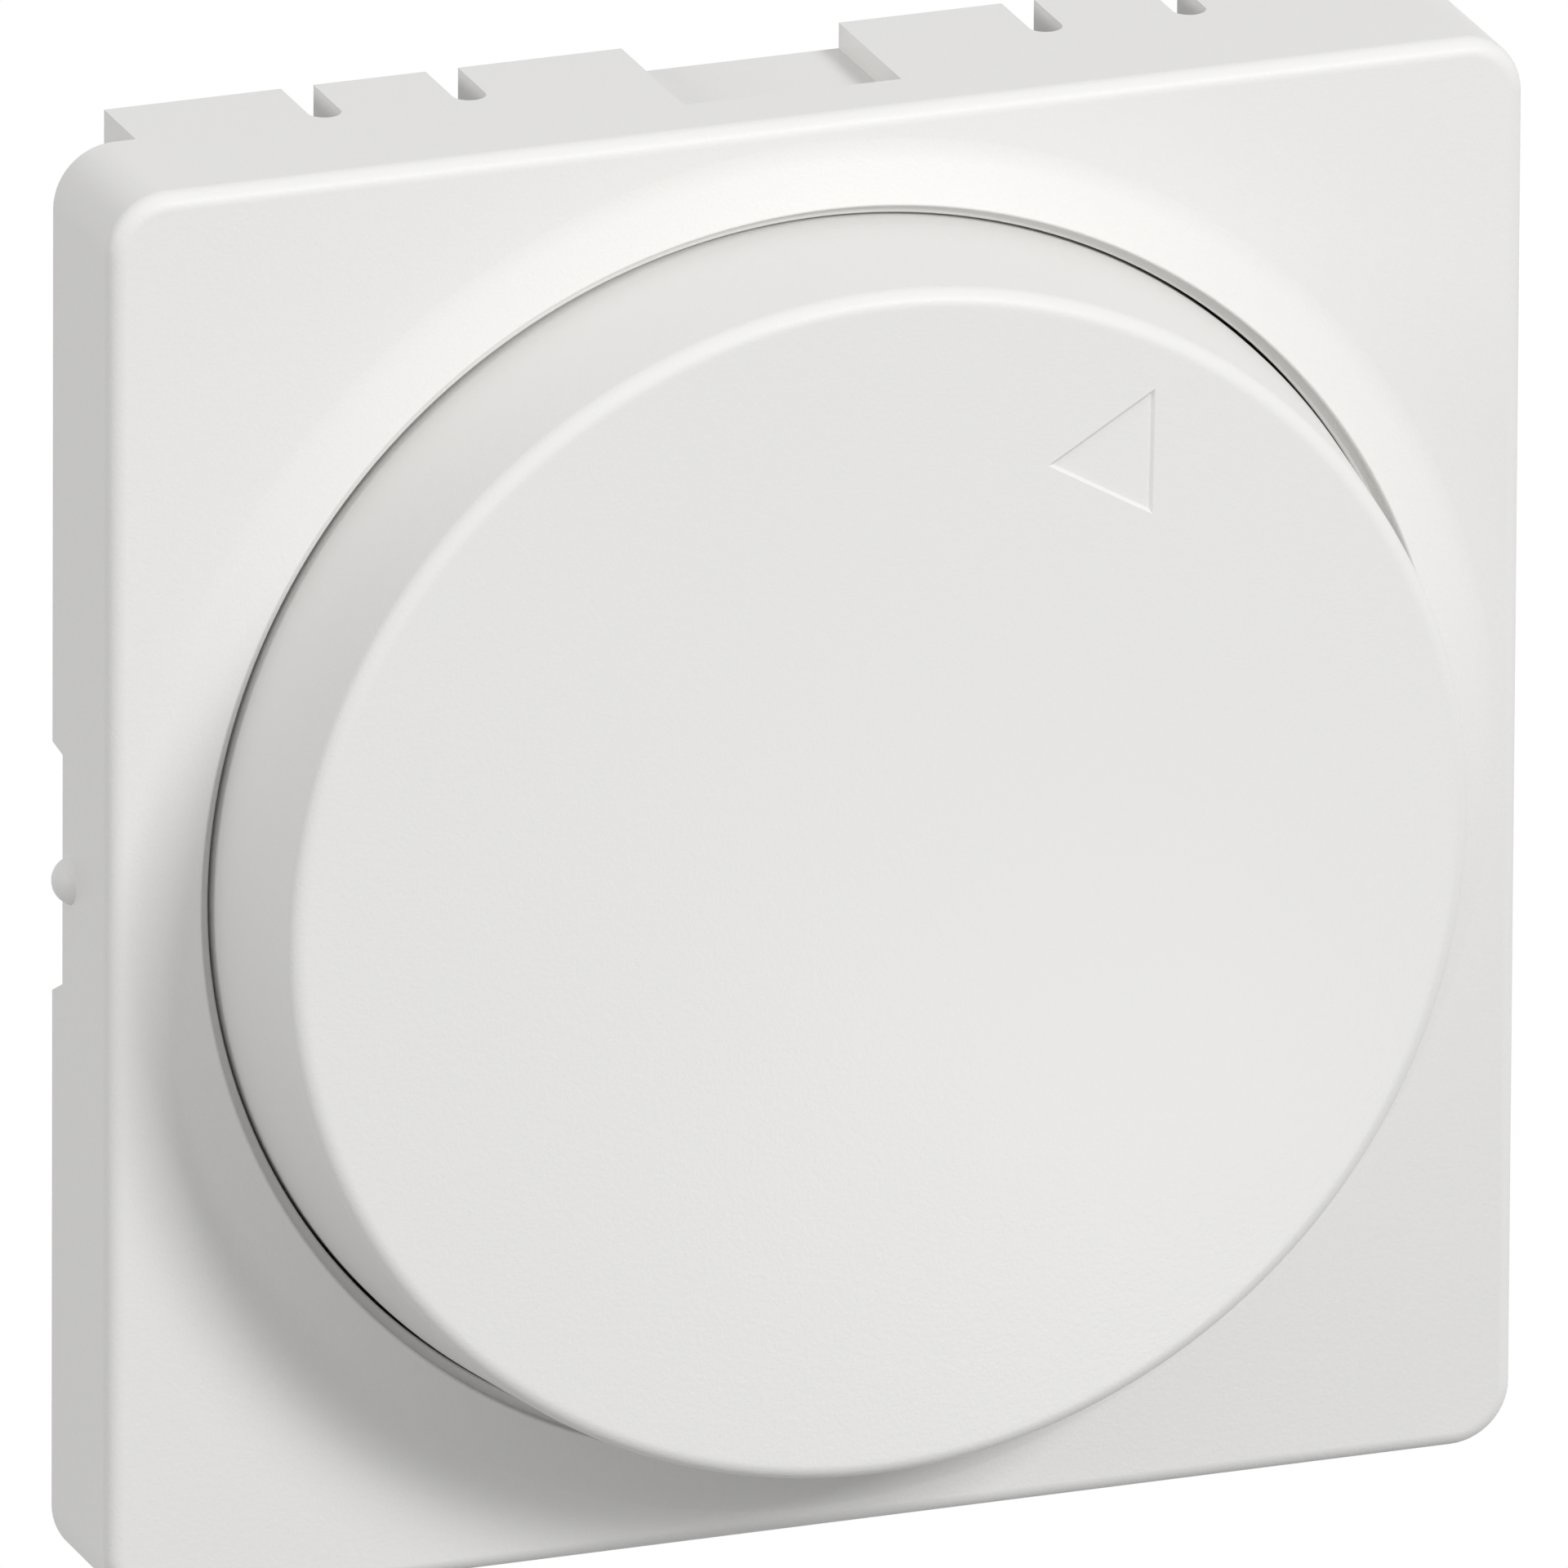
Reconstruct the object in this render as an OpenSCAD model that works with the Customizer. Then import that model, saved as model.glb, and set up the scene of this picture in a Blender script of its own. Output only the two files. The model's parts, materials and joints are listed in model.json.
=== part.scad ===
// Rotary dimmer switch: a square cover plate with a large round knob, and the insert behind it.
// Millimetres. The knob turns about the Y axis. The front faces -Y, +Z is up, and y = 0 is the wall
// plane: the back face of the support plate. Everything behind y = 0 sits in the wall box.

/* [Cover plate] */
// Width and height of the cover plate
plate_w = 50; // [49.5:0.25:51]
// Distance from the flat front of the plate to the wall plane
cover_d = 8.7; // [8.7:0.1:9]
// Depth of the rim round the plate
rim_d = 5.6; // [5.2:0.1:6]
// Radius of the plate's corners
corner_r = 2.1; // [1.5:0.1:2.5]
// Radius of the edge between the front and the sides
edge_r = 0.6; // [0.4:0.1:1]
// Thickness of the rim and of the front wall
wall_t = 1.5; // [1.2:0.1:1.6]
// Thickness of the top and bottom skirts
skirt_t = 1.2; // [1:0.1:1.3]
// Height of the raised ring above the flat front
ring_h = 0.68; // [0.4:0.02:0.8]
// Radius of the knob hole
hole_r = 21.96; // [21.8:0.02:22.1]

/* [Knob] */
// Radius of the knob at its front
knob_r = 20.91; // [20.6:0.01:21]
// Radius of the knob where it enters the hole
knob_base_r = 21.5; // [21.3:0.1:21.6]
// How far the knob stands in front of the flat plate
knob_h = 6.29; // [5.5:0.01:7]
// Radius of the knob's front edge
knob_edge_r = 0.6; // [0.4:0.1:0.8]
// Clockwise angle of the pointer from the top at rest
pointer_angle = 30; // [0:5:90]
// Depth of the pointer's recess
pointer_depth = 0.15; // [0.1:0.05:0.3]

/* [Shaft] */
// Radius of the shaft
shaft_r = 3; // [2.9:0.05:3]
// Radial play of the shaft in its bushing
shaft_play = 0.05; // [0.02:0.01:0.08]
// Travel of the knob when it is pushed
push_travel = 1; // [0.8:0.1:1]

/* [Support plate] */
// Width and height of the support plate
support_w = 45.2; // [44:0.2:45.2]
// Thickness of the support plate
support_t = 1; // [0.8:0.1:1]
// Distance between the box screws, across and up
box_pitch = 38; // [36:0.5:38]
// Radius of the holes for the box screws
box_hole_r = 1.7; // [1.5:0.1:1.8]

/* [Housing] */
// Width and height of the housing
housing_w = 33; // [33:0.5:34]
// Depth of the housing behind the wall plane
housing_d = 18; // [18:0.5:20]
// Thickness of the housing's side walls
housing_t = 1.3; // [1:0.1:1.3]
// Radius of the wire entries in the back
wire_hole_r = 1.75; // [1.5:0.05:1.8]
// Distance from one wire entry to the next
pole_pitch = 6.2; // [6:0.1:6.3]

/* [Hidden] */

$fn = 96;
eps = 0.01;      // overlap that makes two shapes of one piece join
past = 1;        // how far a cutter runs past the face that it opens
slip = 0.1;      // gap between pieces that lie against each other in a pocket

// Cover plate
face_y = -cover_d;
half_w = plate_w / 2;
crest_y = face_y - ring_h;
ring_foot_r = 24.3;
crest_land = 0.15;           // flat on top of the ring
flat_half = half_w - corner_r;
cavity_half = half_w - wall_t;
floor_front_y = -3.6;        // front of the pocket floor
floor_back_y = -2.2;
pocket_wall_t = 1.24;
boss_r = 11;                 // boss of the floor that rests on the support plate
skirt_half = 22.1;
slot_x = [10.2, 15.3];
slot_w = 1.15;
slot_start_y = face_y + 5.5;
latch_half = 3.85;           // recess for the frame's latch, in the middle of the skirt
latch_depth = 0.9;
latch_start_y = face_y + 2.75;
latch_floor_t = 1.1;
notch_top = 4.16;            // shallow notch in the back edge of each side
notch_bottom = -4.63;
notch_depth = 1;
notch_top_slope = 0.14;      // how far each end leans over the notch's depth
notch_bottom_slope = 0.55;
nub_y = face_y + 4.05;       // snap nub on each side
nub_z = -0.25;
nub_r = 0.85;
nub_sink = 0.3;              // how deep the nub's centre lies under the surface

// Knob
knob_front_y = face_y - knob_h;
knob_wall_t = 1.9;
knob_back_y = -5;
knob_inner_y = knob_front_y + knob_wall_t;
hub_r = 5.5;
hub_back_y = -7.9;
rib_count = 6;
rib_t = 1;
rib_d = 2.4;
pointer_tip_r = 19.15;
pointer_base_z = 15.1;
pointer_half_w = 2.25;

// Shaft and its clip
shaft_tip_y = knob_inner_y + 0.8;
flat_x = 1.5;                // distance of the flat from the axis
flat_end_y = -7.2;
shoulder_y = 1.2;
tail_r = 2.4;
tail_flat_x = 1.5;
tail_end_y = 5.4;
clip_t = 0.4;
clip_w = 3.6;
socket_play = 0.05;

// Bushing, nut and washer
bushing_r = 4.95;
bushing_front_y = -6.5;
flange_r = 7;
flange_t = 0.8;
washer_t = 0.6;
washer_r = 8.6;
nut_t = 2.2;
nut_across_flats = 14;
thread_play = 0.05;

// Insert
case_r = 7.5;                // potentiometer case
case_wall = 0.7;
wafer_y = 4;
board_y = 5;                 // front of the circuit board
board_t = 1.6;
board_back_y = board_y + board_t;
board_half = 14.7;
inner_half = housing_w / 2 - housing_t;
housing_corner_r = 3.5;
back_t = 1.6;
inner_back_y = housing_d - back_t;
boss_at = [[-12.8, 12.8], [12.8, -12.8]];
post_at = [[12.6, 12.6], [-12.6, -12.6]];
screw_boss_r = 2.6;
post_r = 1.6;
pole_x = [for (i = [-1:1]) i * pole_pitch - 0.5];
pole_z = -11.2;
pole_y = 11.5;
trimmer_at = [-11.3, -3];
triac_at = [9, 10.6];
triac_half = [5.2, 3.7];
triac_hole_at = [11.5, 10.6];
switch_w = 12;
switch_h = 11;
switch_d = 7;
switch_wall = 0.9;
plunger_r = 2;
plunger_y = tail_end_y + 0.05;
collar_r = 3;
collar_y = 7.6;
collar_t = 0.8;
lug_end_x = 5;
arm_t = 0.4;
arm_y = collar_y + collar_t + slip;
arm_pivot_z = -4;
arm_pin_r = 0.4;
arm_tip_z = 4.2;
contact_r = 0.6;
closed_contact_y = 11.5;     // where the moving contact arrives when the switch is pushed

// Finishes
white_plastic = [0.91, 0.91, 0.9];
steel = [0.72, 0.73, 0.74];
brass = [0.8, 0.66, 0.35];
copper = [0.72, 0.42, 0.22];
dark_plastic = [0.13, 0.13, 0.14];
grey_plastic = [0.62, 0.63, 0.64];

// ---------------------------------------------------------------------------------------------
// Helpers
// ---------------------------------------------------------------------------------------------

// A 2-D outline as seen from the front (x right, z up), made solid from y0 to y1.
module slab(y0, y1) {
    translate([0, y1, 0]) rotate([90, 0, 0]) linear_extrude(y1 - y0) children();
}

// A 2-D profile of radius and y, turned about the Y axis.
module turned(angle = 360) {
    rotate([-90, 0, 0]) rotate_extrude(angle = angle) children();
}

// A round bar along Y at [x, z], from y0 to y1.
module rod(r, y0, y1, at = [0, 0]) {
    translate([at[0], y0, at[1]]) rotate([-90, 0, 0]) cylinder(h = y1 - y0, r = r);
}

// A box between two opposite corners.
module block(low, high) {
    translate(low) cube(high - low);
}

module rounded_square(w, h, r) {
    square([w, h - 2 * r], center = true);
    square([w - 2 * r, h], center = true);
    for (x = [-1, 1], z = [-1, 1])
        translate([x * (w / 2 - r), z * (h / 2 - r)]) circle(r);
}

// A round bar with a flat that faces +X.
module d_outline(r, flat) {
    difference() {
        circle(r);
        translate([flat, -r - past]) square([r + past, 2 * (r + past)]);
    }
}

// Copies on the top side and turned half round on the bottom side.
module top_and_bottom() {
    for (a = [0, 180]) rotate([0, a, 0]) children();
}

module left_and_right() {
    for (s = [0, 1]) mirror([s, 0, 0]) children();
}

// A polygonal tube of radius r along a list of points, closed by flat ends. The list "across"
// holds a direction that lies across the path at each point, so that the tube doesn't twist.
function unit(v) = v / norm(v);
function heading(path, i) = unit(path[min(i + 1, len(path) - 1)] - path[max(i - 1, 0)]);
module wire(path, across, r, sides = 6) {
    last = len(path) - 1;
    points = [
        for (i = [0:last])
            let (side = unit(cross(heading(path, i), across[i])), up = cross(heading(path, i), side))
            for (k = [0:sides - 1])
                path[i] + r * (cos(360 * k / sides) * side + sin(360 * k / sides) * up)
    ];
    walls = [
        for (i = [0:last - 1], k = [0:sides - 1], half = [0, 1])
            let (a = i * sides + k, b = i * sides + (k + 1) % sides)
            half == 0 ? [a, b, b + sides] : [a, b + sides, a + sides]
    ];
    ends = [[for (k = [sides - 1:-1:0]) k], [for (k = [0:sides - 1]) last * sides + k]];
    polyhedron(points, concat(walls, ends));
}

// ---------------------------------------------------------------------------------------------
// Cover plate
// ---------------------------------------------------------------------------------------------

// Section of the rim: the outer front edge is rounded.
module rim_section() {
    difference() {
        translate([0, face_y]) square([corner_r, rim_d]);
        translate([corner_r - edge_r, face_y]) difference() {
            translate([0, -past]) square([edge_r + past, edge_r + past]);
            translate([0, edge_r]) circle(edge_r);
        }
    }
}

// Outer block of the plate: a middle, four straight rims and four rounded corners.
module plate_blank() {
    block([-flat_half, face_y, -flat_half], [flat_half, face_y + rim_d, flat_half]);
    for (a = [0, 90, 180, 270]) rotate([0, a, 0]) {
        translate([flat_half, 0, -flat_half]) linear_extrude(2 * flat_half) rim_section();
        translate([flat_half, 0, flat_half]) rotate([0, -90, 0]) turned(90) rim_section();
    }
}

// Raised ring round the hole, sloping down towards the edges.
module ring() {
    turned() polygon([
        [hole_r - past, face_y + past], [hole_r - past, crest_y], [hole_r + crest_land, crest_y],
        [ring_foot_r, face_y], [ring_foot_r, face_y + past]
    ]);
}

// Round pocket for the knob: wall, floor, and the boss that the nut clamps.
module pocket() {
    outer_r = hole_r + pocket_wall_t;
    turned() polygon([
        [0, floor_front_y - past], [hole_r - past, floor_front_y - past],
        [hole_r - past, face_y + eps], [outer_r, face_y + eps], [outer_r, floor_back_y],
        [boss_r, floor_back_y], [boss_r, -support_t], [0, -support_t]
    ]);
}

// Top skirt that reaches back to the wall, with the floor of the latch recess.
module skirt() {
    block([-skirt_half, face_y + wall_t, half_w - skirt_t], [skirt_half, 0, half_w]);
    block(
        [-latch_half - skirt_t, face_y + wall_t, half_w - latch_depth - latch_floor_t],
        [latch_half + skirt_t, 0, half_w - skirt_t + eps]
    );
}

module skirt_cuts() {
    for (x = slot_x, s = [-1, 1]) translate([s * x, 0, half_w - skirt_t - past / 2]) {
        translate([0, slot_start_y + slot_w / 2, 0]) cylinder(h = skirt_t + past, d = slot_w);
        translate([-slot_w / 2, slot_start_y + slot_w / 2, 0])
            cube([slot_w, -slot_start_y, skirt_t + past]);
    }
    block(
        [-latch_half, latch_start_y, half_w - latch_depth],
        [latch_half, past, half_w + past]
    );
}

// Shallow notch with sloping ends in the back edge of the right side.
module side_notch() {
    back_y = face_y + rim_d;
    translate([cavity_half - slip, 0, 0]) rotate([90, 0, 90]) linear_extrude(wall_t + past)
        polygon([
            [back_y - notch_depth, notch_bottom + notch_bottom_slope],
            [back_y - notch_depth, notch_top - notch_top_slope],
            [back_y, notch_top], [back_y + past, notch_top],
            [back_y + past, notch_bottom], [back_y, notch_bottom]
        ]);
}

// Front wall and rim, hollow from behind.
module plate_shell() {
    cavity_corner_r = corner_r - edge_r / 2;
    difference() {
        plate_blank();
        slab(face_y + wall_t, face_y + rim_d + past)
            rounded_square(2 * cavity_half, 2 * cavity_half, cavity_corner_r);
        left_and_right() side_notch();
    }
}

module cover_plate() {
    color(white_plastic) union() {
        difference() {
            union() {
                plate_shell();
                ring();
                pocket();
                top_and_bottom() skirt();
            }
            rod(hole_r, crest_y - past, floor_front_y);
            rod(bushing_r + slip, floor_front_y - past, past);
            top_and_bottom() skirt_cuts();
        }
        left_and_right() translate([half_w - nub_sink, nub_y, nub_z]) sphere(nub_r);
    }
}

// ---------------------------------------------------------------------------------------------
// Knob and shaft
// ---------------------------------------------------------------------------------------------

// Outer profile of the knob: rounded front edge, drafted side as far as the ring, and a straight
// skirt that turns in the pocket.
module knob_profile() {
    polygon([
        [0, knob_front_y], [knob_r - knob_edge_r, knob_front_y],
        [knob_r, knob_front_y + knob_edge_r], [knob_base_r, crest_y],
        [knob_base_r, knob_back_y], [0, knob_back_y]
    ]);
    translate([knob_r - knob_edge_r, knob_front_y + knob_edge_r]) intersection() {
        circle(knob_edge_r);
        translate([0, -knob_edge_r]) square(knob_edge_r);
    }
}

module pointer_outline() {
    rotate(-pointer_angle) polygon([
        [0, pointer_tip_r],
        [pointer_half_w, pointer_base_z],
        [-pointer_half_w, pointer_base_z]
    ]);
}

module knob() {
    cavity_r = knob_r - knob_wall_t;
    color(white_plastic) difference() {
        union() {
            difference() {
                turned() knob_profile();
                rod(cavity_r, knob_inner_y, knob_back_y + past);
            }
            rod(hub_r, knob_inner_y - eps, hub_back_y);
            for (k = [0:rib_count - 1]) rotate([0, k * 360 / rib_count, 0]) block(
                [hub_r - past, knob_inner_y - eps, -rib_t / 2],
                [cavity_r + past, knob_inner_y + rib_d, rib_t / 2]
            );
        }
        slab(shaft_tip_y, hub_back_y + past)
            d_outline(shaft_r + socket_play, flat_x + clip_t + socket_play);
        slab(knob_front_y - past, knob_front_y + pointer_depth) pointer_outline();
    }
}

// Leaf spring between the flat of the shaft and the wall of its socket, with a foot on the hub.
module knob_clip() {
    foot_y = hub_back_y + clip_t / 2;
    color(steel) union() {
        block([flat_x, shaft_tip_y + slip, -clip_w / 2], [flat_x + clip_t, foot_y, clip_w / 2]);
        block([flat_x, hub_back_y, -clip_w / 2], [flat_x + 2.2, foot_y, clip_w / 2]);
    }
}

// Steel shaft: a flat for the knob, a round bearing length, and a keyed tail for the rotor.
module knob_shaft() {
    color(steel) union() {
        difference() {
            rod(shaft_r, shaft_tip_y, shoulder_y);
            block(
                [flat_x, shaft_tip_y - past, -shaft_r - past],
                [shaft_r + past, flat_end_y, shaft_r + past]
            );
        }
        slab(shoulder_y - eps, tail_end_y) d_outline(tail_r, tail_flat_x);
    }
}

// ---------------------------------------------------------------------------------------------
// Fixing on the bushing, and the support plate
// ---------------------------------------------------------------------------------------------

module fixing_nut() {
    back_y = floor_front_y - washer_t;
    color(brass) difference() {
        intersection() {
            translate([0, back_y, 0]) rotate([90, 0, 0])
                cylinder(h = nut_t, d = nut_across_flats / cos(30), $fn = 6);
            turned() polygon([
                [0, back_y - nut_t], [nut_across_flats / 2 - 0.3, back_y - nut_t],
                [nut_across_flats / 2 + 1.1, back_y - nut_t + 0.8],
                [nut_across_flats / 2 + 1.4, back_y], [0, back_y]
            ]);
        }
        rod(bushing_r + thread_play, back_y - nut_t - past, back_y + past);
    }
}

module lock_washer() {
    color(steel) difference() {
        rod(washer_r, floor_front_y - washer_t, floor_front_y);
        rod(bushing_r + slip, floor_front_y - washer_t - past, floor_front_y + past);
    }
}

module support_plate() {
    color(steel) difference() {
        slab(-support_t, 0) rounded_square(support_w, support_w, 3);
        rod(bushing_r + thread_play, -support_t - past, past);
        for (x = [-1, 1], z = [-1, 1])
            rod(box_hole_r, -support_t - past, past, [x * box_pitch / 2, z * box_pitch / 2]);
        for (at = boss_at) rod(1.35, -support_t - past, past, at);
        rod(1.5, -support_t - past, past, triac_hole_at);
        rod(1.6, -support_t - past, past, trimmer_at);
    }
}

// ---------------------------------------------------------------------------------------------
// Housing and circuit board
// ---------------------------------------------------------------------------------------------

module housing() {
    inner = 2 * inner_half;
    color(grey_plastic) difference() {
        union() {
            difference() {
                slab(0, housing_d) rounded_square(housing_w, housing_w, housing_corner_r);
                slab(-past, inner_back_y)
                    rounded_square(inner, inner, housing_corner_r - housing_t);
            }
            for (at = boss_at) rod(screw_boss_r, 0, inner_back_y + past / 2, at);
            for (at = post_at) rod(post_r, board_back_y, inner_back_y + past / 2, at);
        }
        for (at = boss_at) rod(1, -past, 9, at);
        for (x = pole_x) {
            rod(wire_hole_r, inner_back_y - past, housing_d + past, [x, pole_z]);
            translate([x, pole_y, -housing_w / 2 - past]) cylinder(h = housing_t + 2 * past, r = 1.95);
        }
    }
}

// Flat-headed screws from the front of the plate into the housing's bosses.
module housing_screws() {
    color(steel) for (at = boss_at) difference() {
        union() {
            rod(2.3, -support_t - 0.9, -support_t, at);
            rod(1.3, -support_t - eps, 0, at);
            rod(1, -eps, 8, at);
        }
        translate([at[0], -support_t - 0.9, at[1]]) {
            cube([0.6, 0.9, 3.2], center = true);
            cube([3.2, 0.9, 0.6], center = true);
        }
    }
}

module circuit_board() {
    color([0.16, 0.42, 0.25]) difference() {
        slab(board_y, board_back_y) rounded_square(2 * board_half, 2 * board_half, 1.5);
        rod(2.8, board_y - past, board_back_y + past);
        for (at = boss_at) rod(screw_boss_r + 0.3, board_y - past, board_back_y + past, at);
    }
}

// ---------------------------------------------------------------------------------------------
// Potentiometer
// ---------------------------------------------------------------------------------------------

module pot_bushing() {
    color(brass) difference() {
        union() {
            rod(bushing_r, bushing_front_y, eps);
            rod(flange_r, 0, flange_t);
        }
        rod(shaft_r + shaft_play, bushing_front_y - past, flange_t + past);
    }
}

module pot_body() {
    color(dark_plastic) difference() {
        rod(case_r, flange_t, board_y);
        rod(case_r - case_wall, flange_t + case_wall, board_y + past);
        rod(shaft_r + 0.4, flange_t - past, flange_t + case_wall + past);
    }
}

module track_wafer() {
    color([0.55, 0.4, 0.25]) difference() {
        rod(case_r - case_wall - 0.05, wafer_y, board_y);
        rod(tail_r + 0.25, wafer_y - past, board_y + past);
    }
}

module resistance_track() {
    color([0.1, 0.1, 0.1]) rotate([0, 120, 0])
        turned(300) translate([4.2, wafer_y - 0.12]) square([1.4, 0.12]);
}

// Disc that slides on the keyed tail and turns with it. Its collar runs on the front wall.
module pot_rotor() {
    color(grey_plastic) difference() {
        union() {
            rod(6, 2.5, 3.4);
            rod(4.2, flange_t + case_wall + slip, 2.5 + eps);
        }
        slab(2, 4) d_outline(tail_r + socket_play, tail_flat_x + socket_play);
        rod(shaft_r + slip, 0, 2.5);
    }
}

module pot_wiper() {
    color(brass) rotate([0, pointer_angle, 0]) union() {
        block([-0.7, 3.4, 2.7], [0.7, 3.6, 5.6]);
        rod(0.5, 3.6 - eps, 3.8, [0, 4.9]);
    }
}

// ---------------------------------------------------------------------------------------------
// Push switch
// ---------------------------------------------------------------------------------------------

module switch_body() {
    front_y = board_back_y;
    color(dark_plastic) difference() {
        slab(front_y, front_y + switch_d) square([switch_w, switch_h], center = true);
        slab(front_y + switch_wall, front_y + switch_d - switch_wall)
            square([switch_w - 2 * switch_wall, switch_h - 2 * switch_wall], center = true);
        rod(plunger_r + shaft_play, front_y - past, front_y + switch_wall + past);
        translate([lug_end_x - past, arm_y + arm_t / 2, arm_pivot_z]) rotate([0, 90, 0])
            cylinder(h = 3, r = arm_pin_r + shaft_play);
    }
}

module switch_plunger() {
    color(white_plastic) union() {
        rod(plunger_r, plunger_y, collar_y + eps);
        rod(collar_r, collar_y, collar_y + collar_t);
        rod(1.6, collar_y, collar_y + 2.6);
        block([0, collar_y, -0.5], [lug_end_x - 0.2, collar_y + collar_t, 0.5]);
    }
}

module return_spring() {
    coil_r = 2.2;
    wire_r = 0.2;
    turns = 4;
    steps = 14;
    start_y = collar_y + collar_t + wire_r + 0.02;
    end_y = board_back_y + switch_d - switch_wall - wire_r - 0.02;
    path = [
        for (i = [0:turns * steps]) let (a = 360 * i / steps)
            [coil_r * cos(a), start_y + (end_y - start_y) * i / (turns * steps), coil_r * sin(a)]
    ];
    color(steel) wire(path, [for (point = path) [0, 1, 0]], wire_r);
}

// Moving contact: a leaf that the plunger's lug tips about a pin at its lower end.
module contact_arm() {
    color(brass) union() {
        block([3.2, arm_y, arm_pivot_z], [lug_end_x, arm_y + arm_t, arm_tip_z]);
        translate([2.8, arm_y + arm_t / 2, arm_pivot_z]) rotate([0, 90, 0])
            cylinder(h = switch_w / 2 - 2.8, r = arm_pin_r);
        rod(contact_r, arm_y + arm_t - eps, arm_y + 2 * arm_t, [4.1, arm_tip_z - 0.8]);
    }
}

module fixed_contact() {
    back_y = board_back_y + switch_d - switch_wall;
    color(brass) union() {
        block([3.3, back_y - arm_t, 1.6], [4.9, back_y, arm_tip_z + 0.2]);
        rod(contact_r, closed_contact_y, back_y - arm_t + eps, [4.1, arm_tip_z - 1.2]);
    }
}

// ---------------------------------------------------------------------------------------------
// Power parts and small components
// ---------------------------------------------------------------------------------------------

module triac() {
    color(dark_plastic) difference() {
        union() {
            block(
                [triac_at[0] - triac_half[0], 0.3, triac_at[1] - triac_half[1]],
                [triac_at[0] + triac_half[0], 3, triac_at[1] + triac_half[1]]
            );
            for (dz = [-2.3, 0, 2.3]) block(
                [triac_at[0] - 6.6, 1.4, triac_at[1] + dz - 0.35],
                [triac_at[0] - 5.1, 1.9, triac_at[1] + dz + 0.35]
            );
            for (dz = [-2.3, 0, 2.3]) block(
                [triac_at[0] - 6.6, 1.8, triac_at[1] + dz - 0.35],
                [triac_at[0] - 6.1, board_y, triac_at[1] + dz + 0.35]
            );
        }
        rod(1.6, 0, 4, triac_hole_at);
    }
}

module triac_pad() {
    color([0.75, 0.78, 0.8]) difference() {
        block(
            [triac_at[0] - triac_half[0], 0, triac_at[1] - triac_half[1]],
            [triac_at[0] + triac_half[0], 0.3, triac_at[1] + triac_half[1]]
        );
        rod(1.6, -past, past, triac_hole_at);
    }
}

module triac_screw() {
    color(steel) difference() {
        union() {
            rod(1.45, -support_t, 3 + eps, triac_hole_at);
            rod(2.6, 3, 4.6, triac_hole_at);
        }
        translate([triac_hole_at[0], 4.6, triac_hole_at[1]]) cube([0.7, 1.6, 6], center = true);
    }
}

choke_at = [-10.9, 11.4, 0.6];
choke_mean_r = 3;
choke_half_t = 1.9;
choke_half_w = 0.8;

module choke_core() {
    bevel = 0.4;
    color([0.2, 0.2, 0.22]) translate(choke_at) rotate([0, 90, 0]) rotate_extrude()
        translate([choke_mean_r, 0]) polygon([
            [-choke_half_w, -choke_half_t + bevel], [-choke_half_w + bevel, -choke_half_t],
            [choke_half_w - bevel, -choke_half_t], [choke_half_w, -choke_half_t + bevel],
            [choke_half_w, choke_half_t - bevel], [choke_half_w - bevel, choke_half_t],
            [-choke_half_w + bevel, choke_half_t], [-choke_half_w, choke_half_t - bevel]
        ]);
}

// One enamelled wire that wraps round the ring. Each turn is a rounded rectangle.
module choke_winding() {
    turns = 14;
    steps = 12;
    wire_r = 0.25;
    gap = wire_r + 0.12;
    function swell(v) = sign(v) * pow(abs(v), 0.45);
    function around(i) = 330 * i / (turns * steps);
    path = [
        for (i = [0:turns * steps])
            let (
                over = 360 * i / steps,
                r = choke_mean_r + (choke_half_w + gap) * swell(cos(over))
            )
            [r * cos(around(i)), r * sin(around(i)), (choke_half_t + gap) * swell(sin(over))]
    ];
    across = [for (i = [0:turns * steps]) [-sin(around(i)), cos(around(i)), 0]];
    color(copper) translate(choke_at) rotate([0, 90, 0]) wire(path, across, wire_r);
}

module film_capacitor() {
    color([0.75, 0.6, 0.15]) union() {
        block([7.3, board_back_y + 0.2, -7.3], [13.4, 15.6, 5.5]);
        for (z = [-5.9, 4.1]) rod(0.35, board_back_y, board_back_y + 0.3, [10.3, z]);
    }
}

module timing_capacitor() {
    color([0.55, 0.15, 0.12]) union() {
        block([8.9, 0.8, -5.6], [14.4, 4.7, 4.6]);
        for (z = [-4, 3]) rod(0.3, 4.6, board_y, [11.6, z]);
    }
}

// A part with a lead at each end, lying along X in front of the board.
module axial_part(x, z, length, r) {
    lie_y = 3.6;
    reach = length / 2 + 0.9;
    translate([x - length / 2, lie_y, z]) rotate([0, 90, 0]) cylinder(h = length, r = r);
    translate([x - reach, lie_y, z]) rotate([0, 90, 0]) cylinder(h = 2 * reach, r = 0.25);
    for (s = [-1, 1]) rod(0.25, lie_y, board_y, [x + s * reach, z]);
}

module resistors() {
    color([0.3, 0.55, 0.7]) {
        axial_part(-4.6, -10.2, 6.2, 1.1);
        axial_part(4.6, -10.2, 6.2, 1.1);
        axial_part(-4.6, -13, 6.2, 1.1);
    }
}

module diac() {
    color([0.3, 0.4, 0.75]) axial_part(4.6, -13, 4.2, 0.9);
}

// ---------------------------------------------------------------------------------------------
// Fuse
// ---------------------------------------------------------------------------------------------

fuse_at = [0.6, 10.6, 10.4];
fuse_r = 2.5;
fuse_l = 20;
fuse_cap_l = 5;

module fuse_tube() {
    color([0.85, 0.92, 0.95]) translate(fuse_at - [fuse_l / 2 - 1, 0, 0]) rotate([0, 90, 0])
        difference() {
            cylinder(h = fuse_l - 2, r = fuse_r - 0.3);
            translate([0, 0, -past]) cylinder(h = fuse_l + past, r = fuse_r - 0.9);
        }
}

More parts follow.
